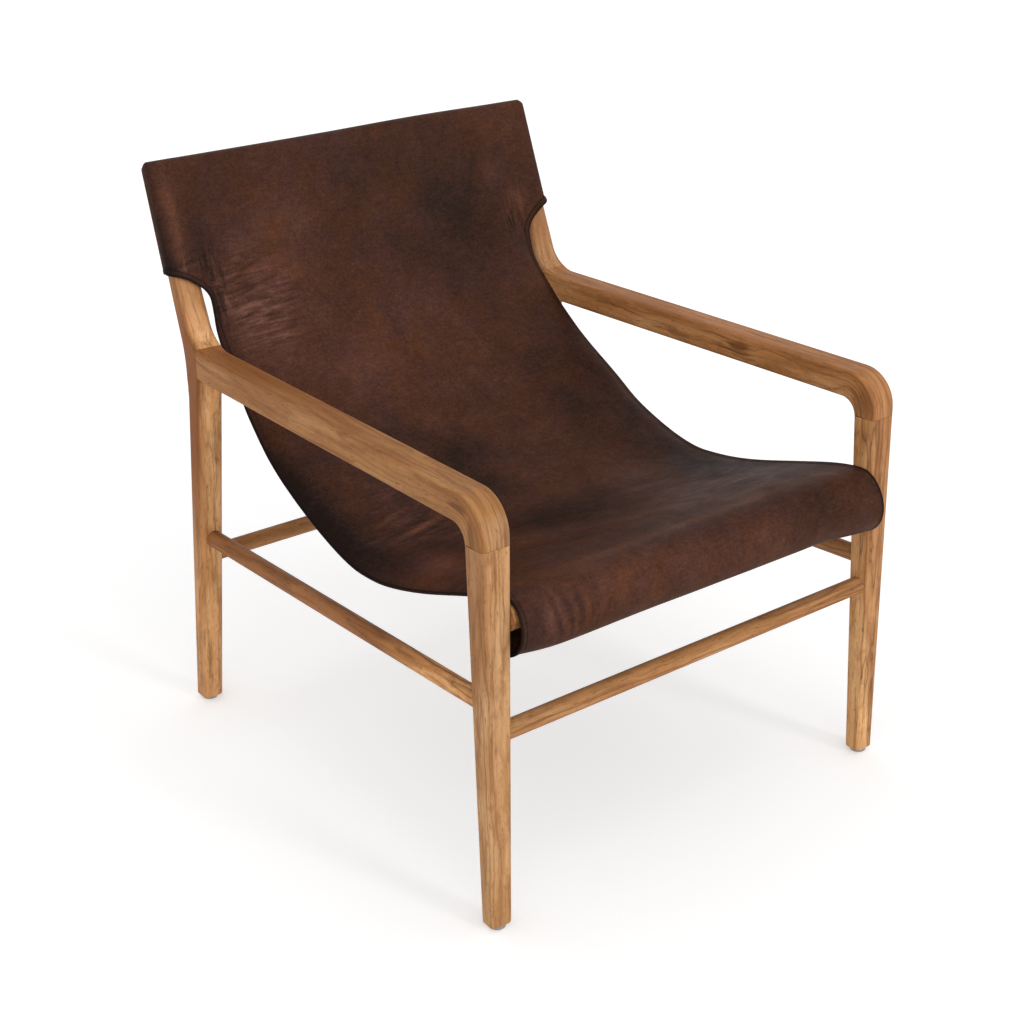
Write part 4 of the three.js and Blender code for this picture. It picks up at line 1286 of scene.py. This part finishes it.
def glide(foot, material):
    node = f"glide_pad_{foot}"
    start, end, size = box_line(node, 2)
    stations = [(height, size[0] / 2 - inset) for height, inset in GLIDE_PROFILE]
    turned(node, stations, start, end, material, f"glide_moulding_{foot}")


ROD_TINT = (0.9, 0.84, 0.77)
ROD_FIGURE = 1.5
PALE_WOOD = srgb(192, 150, 110)
DARK_WOOD = srgb(96, 56, 30)
# Patches in the arms' wood: middle and reach in metres, depth and colour
ARM_PATCHES = {
    "left": (
        ((-0.322, -0.375, 0.515), (0.03, 0.022, 0.04), 0.75, PALE_WOOD),
        ((-0.345, -0.35, 0.512), (0.015, 0.009, 0.03), 0.6, DARK_WOOD),
        ((-0.345, -0.325, 0.54), (0.015, 0.026, 0.009), 0.8, DARK_WOOD),
    ),
    "right": (
        ((0.298, -0.135, 0.542), (0.02, 0.035, 0.016), 0.75, DARK_WOOD),
        ((0.303, -0.35, 0.52), (0.01, 0.03, 0.03), 0.5, DARK_WOOD),
    ),
}
# Tints, shades and vein strengths of the two sides' pieces; the right post's darker tint is painted shade,
# and the lighter tints of the left rod and the right leg go with their painted light and shade
LOOKS = {
    "left": {
        "leg": ((0.99, 0.98, 0.97), left_leg_shade, 1.0),
        "post": ((1.15, 1.13, 1.11), post_shade, 0.8),
        "arm": ((0.86, 0.79, 0.69), left_arm_shade, 1.0),
        "rod": ((1.16, 1.13, 1.08), left_rod_shade, ROD_FIGURE),
    },
    "right": {
        "leg": ((1.1, 1.08, 1.04), right_leg_shade, 1.5),
        "post": ((0.92, 0.91, 0.91), post_shade, 1.0),
        "arm": ((1.0, 0.92, 0.84), right_arm_shade, 1.0),
        "rod": (ROD_TINT, None, ROD_FIGURE),
    },
}


def build_wood():
    for side, label, seed in ((-1, "left", 1), (1, "right", 6)):
        looks = LOOKS[label]
        front_leg(side, label, teak(f"teak_leg_{label}", seed, *looks["leg"]))
        back_post(side, label, teak(f"teak_post_{label}", seed + 1, *looks["post"]))
        arm(side, label, teak(f"teak_arm_{label}", seed + 2, *looks["arm"], ARM_PATCHES[label]))
        rod = f"side_stretcher_{label}"
        plain_rod(rod, 1, ROD_DIAMETER, teak(f"teak_{rod}", seed + 22, *looks["rod"]))
    for seed, rod in enumerate(("front_stretcher", "back_stretcher", "crest_rail"), 11):
        diameter = CREST_DIAMETER if rod == "crest_rail" else ROD_DIAMETER
        plain_rod(rod, 0, diameter, teak(f"teak_{rod}", seed, ROD_TINT, None, ROD_FIGURE))
    seat_rail(teak("teak_seat_rail", 14, ROD_TINT))


def dress_inner_nodes():
    """Materials of the pieces that stay hidden in the joints."""
    dowel = dowel_material()
    steel = steel_material()
    for name, node in frame["nodes"].items():
        if "dowel" in name or "nail" in name:
            node.data.materials.clear()
            node.data.materials.append(dowel if "dowel" in name else steel)


# Studio


WHITE = (1, 1, 1, 1)
AMBIENT = 0.75
# Lamps: turn from the front, height and angular size in degrees, and level, where 1 lights white to white
LAMPS = {"key": (13, 18, 13, 0.23), "fill": (-33, 10, 60, 0.27)}


def aim(thing, azimuth, elevation):
    """Points a lamp or camera at the chair, and returns the direction from the chair to it."""
    a, e = math.radians(azimuth), math.radians(elevation)
    back = Vector((math.sin(a) * math.cos(e), -math.cos(a) * math.cos(e), math.sin(e)))
    thing.rotation_euler = (-back).to_track_quat("-Z", "Y").to_euler()
    return back


def lights():
    """Soft lamps far away."""
    for name, (azimuth, elevation, angle, level) in LAMPS.items():
        light = bpy.data.lights.new(name, "SUN")
        light.energy = level * math.pi
        light.angle = math.radians(angle)
        aim(show(name, light), azimuth, elevation)


def seen_directly(g):
    """1 for rays from the camera, reflections and glass, which see the plain white background."""
    rays = g.add("ShaderNodeLightPath").outputs
    others = g.math("MAXIMUM", rays["Is Glossy Ray"], rays["Is Transmission Ray"])
    return g.math("MAXIMUM", rays["Is Camera Ray"], others)


def world():
    g = Graph(bpy.data.worlds.new("studio"))
    bpy.context.scene.world = g.owner
    background = g.tree.nodes["Background"]
    g.set(background.inputs["Color"], WHITE)
    g.set(background.inputs["Strength"], g.math("MULTIPLY_ADD", seen_directly(g), 1 - AMBIENT, AMBIENT))


FLOOR_REACH = 30.0
FLOOR_COLOUR = (0.9, 0.9, 0.9, 1)
FLOOR_GLOW = 0.33


def floor():
    """Pale floor, whitened for the camera, that keeps the chair's shadow."""
    corners = [(x * FLOOR_REACH, y * FLOOR_REACH, 0) for x, y in ((-1, -1), (1, -1), (1, 1), (-1, 1))]
    mesh = bpy.data.meshes.new("floor")
    mesh.from_pydata(corners, [], [(0, 1, 2, 3)])
    g = Graph(bpy.data.materials.new("floor_paper"))
    g.tree.nodes.clear()
    diffuse = g.add("ShaderNodeBsdfDiffuse", {"Color": FLOOR_COLOUR})
    strength = g.times(seen_directly(g), FLOOR_GLOW)
    glow = g.add("ShaderNodeEmission", {"Color": WHITE, "Strength": strength})
    both = g.add("ShaderNodeAddShader", {0: diffuse.outputs[0], 1: glow.outputs[0]})
    g.add("ShaderNodeOutputMaterial", {"Surface": both.outputs[0]})
    mesh.materials.append(g.owner)
    show("floor", mesh)


# Camera of the photograph, in millimetres from the front feet and degrees
CAMERA_TARGET = (-254.6, 60.4, 506.5)
CAMERA_AZIMUTH = -39.1
CAMERA_ELEVATION = 23.7
CAMERA_DISTANCE = 2111.9
CAMERA_LENS = 64.74
CAMERA_SENSOR = 36


def camera():
    data = bpy.data.cameras.new("camera")
    data.lens = CAMERA_LENS
    data.sensor_width = CAMERA_SENSOR
    eye = show("camera", data)
    back = aim(eye, CAMERA_AZIMUTH, CAMERA_ELEVATION)
    eye.location = Vector(to_frame(CAMERA_TARGET)) + back * CAMERA_DISTANCE * MM
    bpy.context.scene.camera = eye


camera()
build_wood()
dress_inner_nodes()
hide = leather_material()
sling(hide)
hood_back(hide)
plastic = plastic_material()
for foot in ("front_left", "front_right", "back_left", "back_right"):
    glide(foot, plastic)
floor()
world()
lights()
bpy.context.scene.view_settings.view_transform = "Standard"
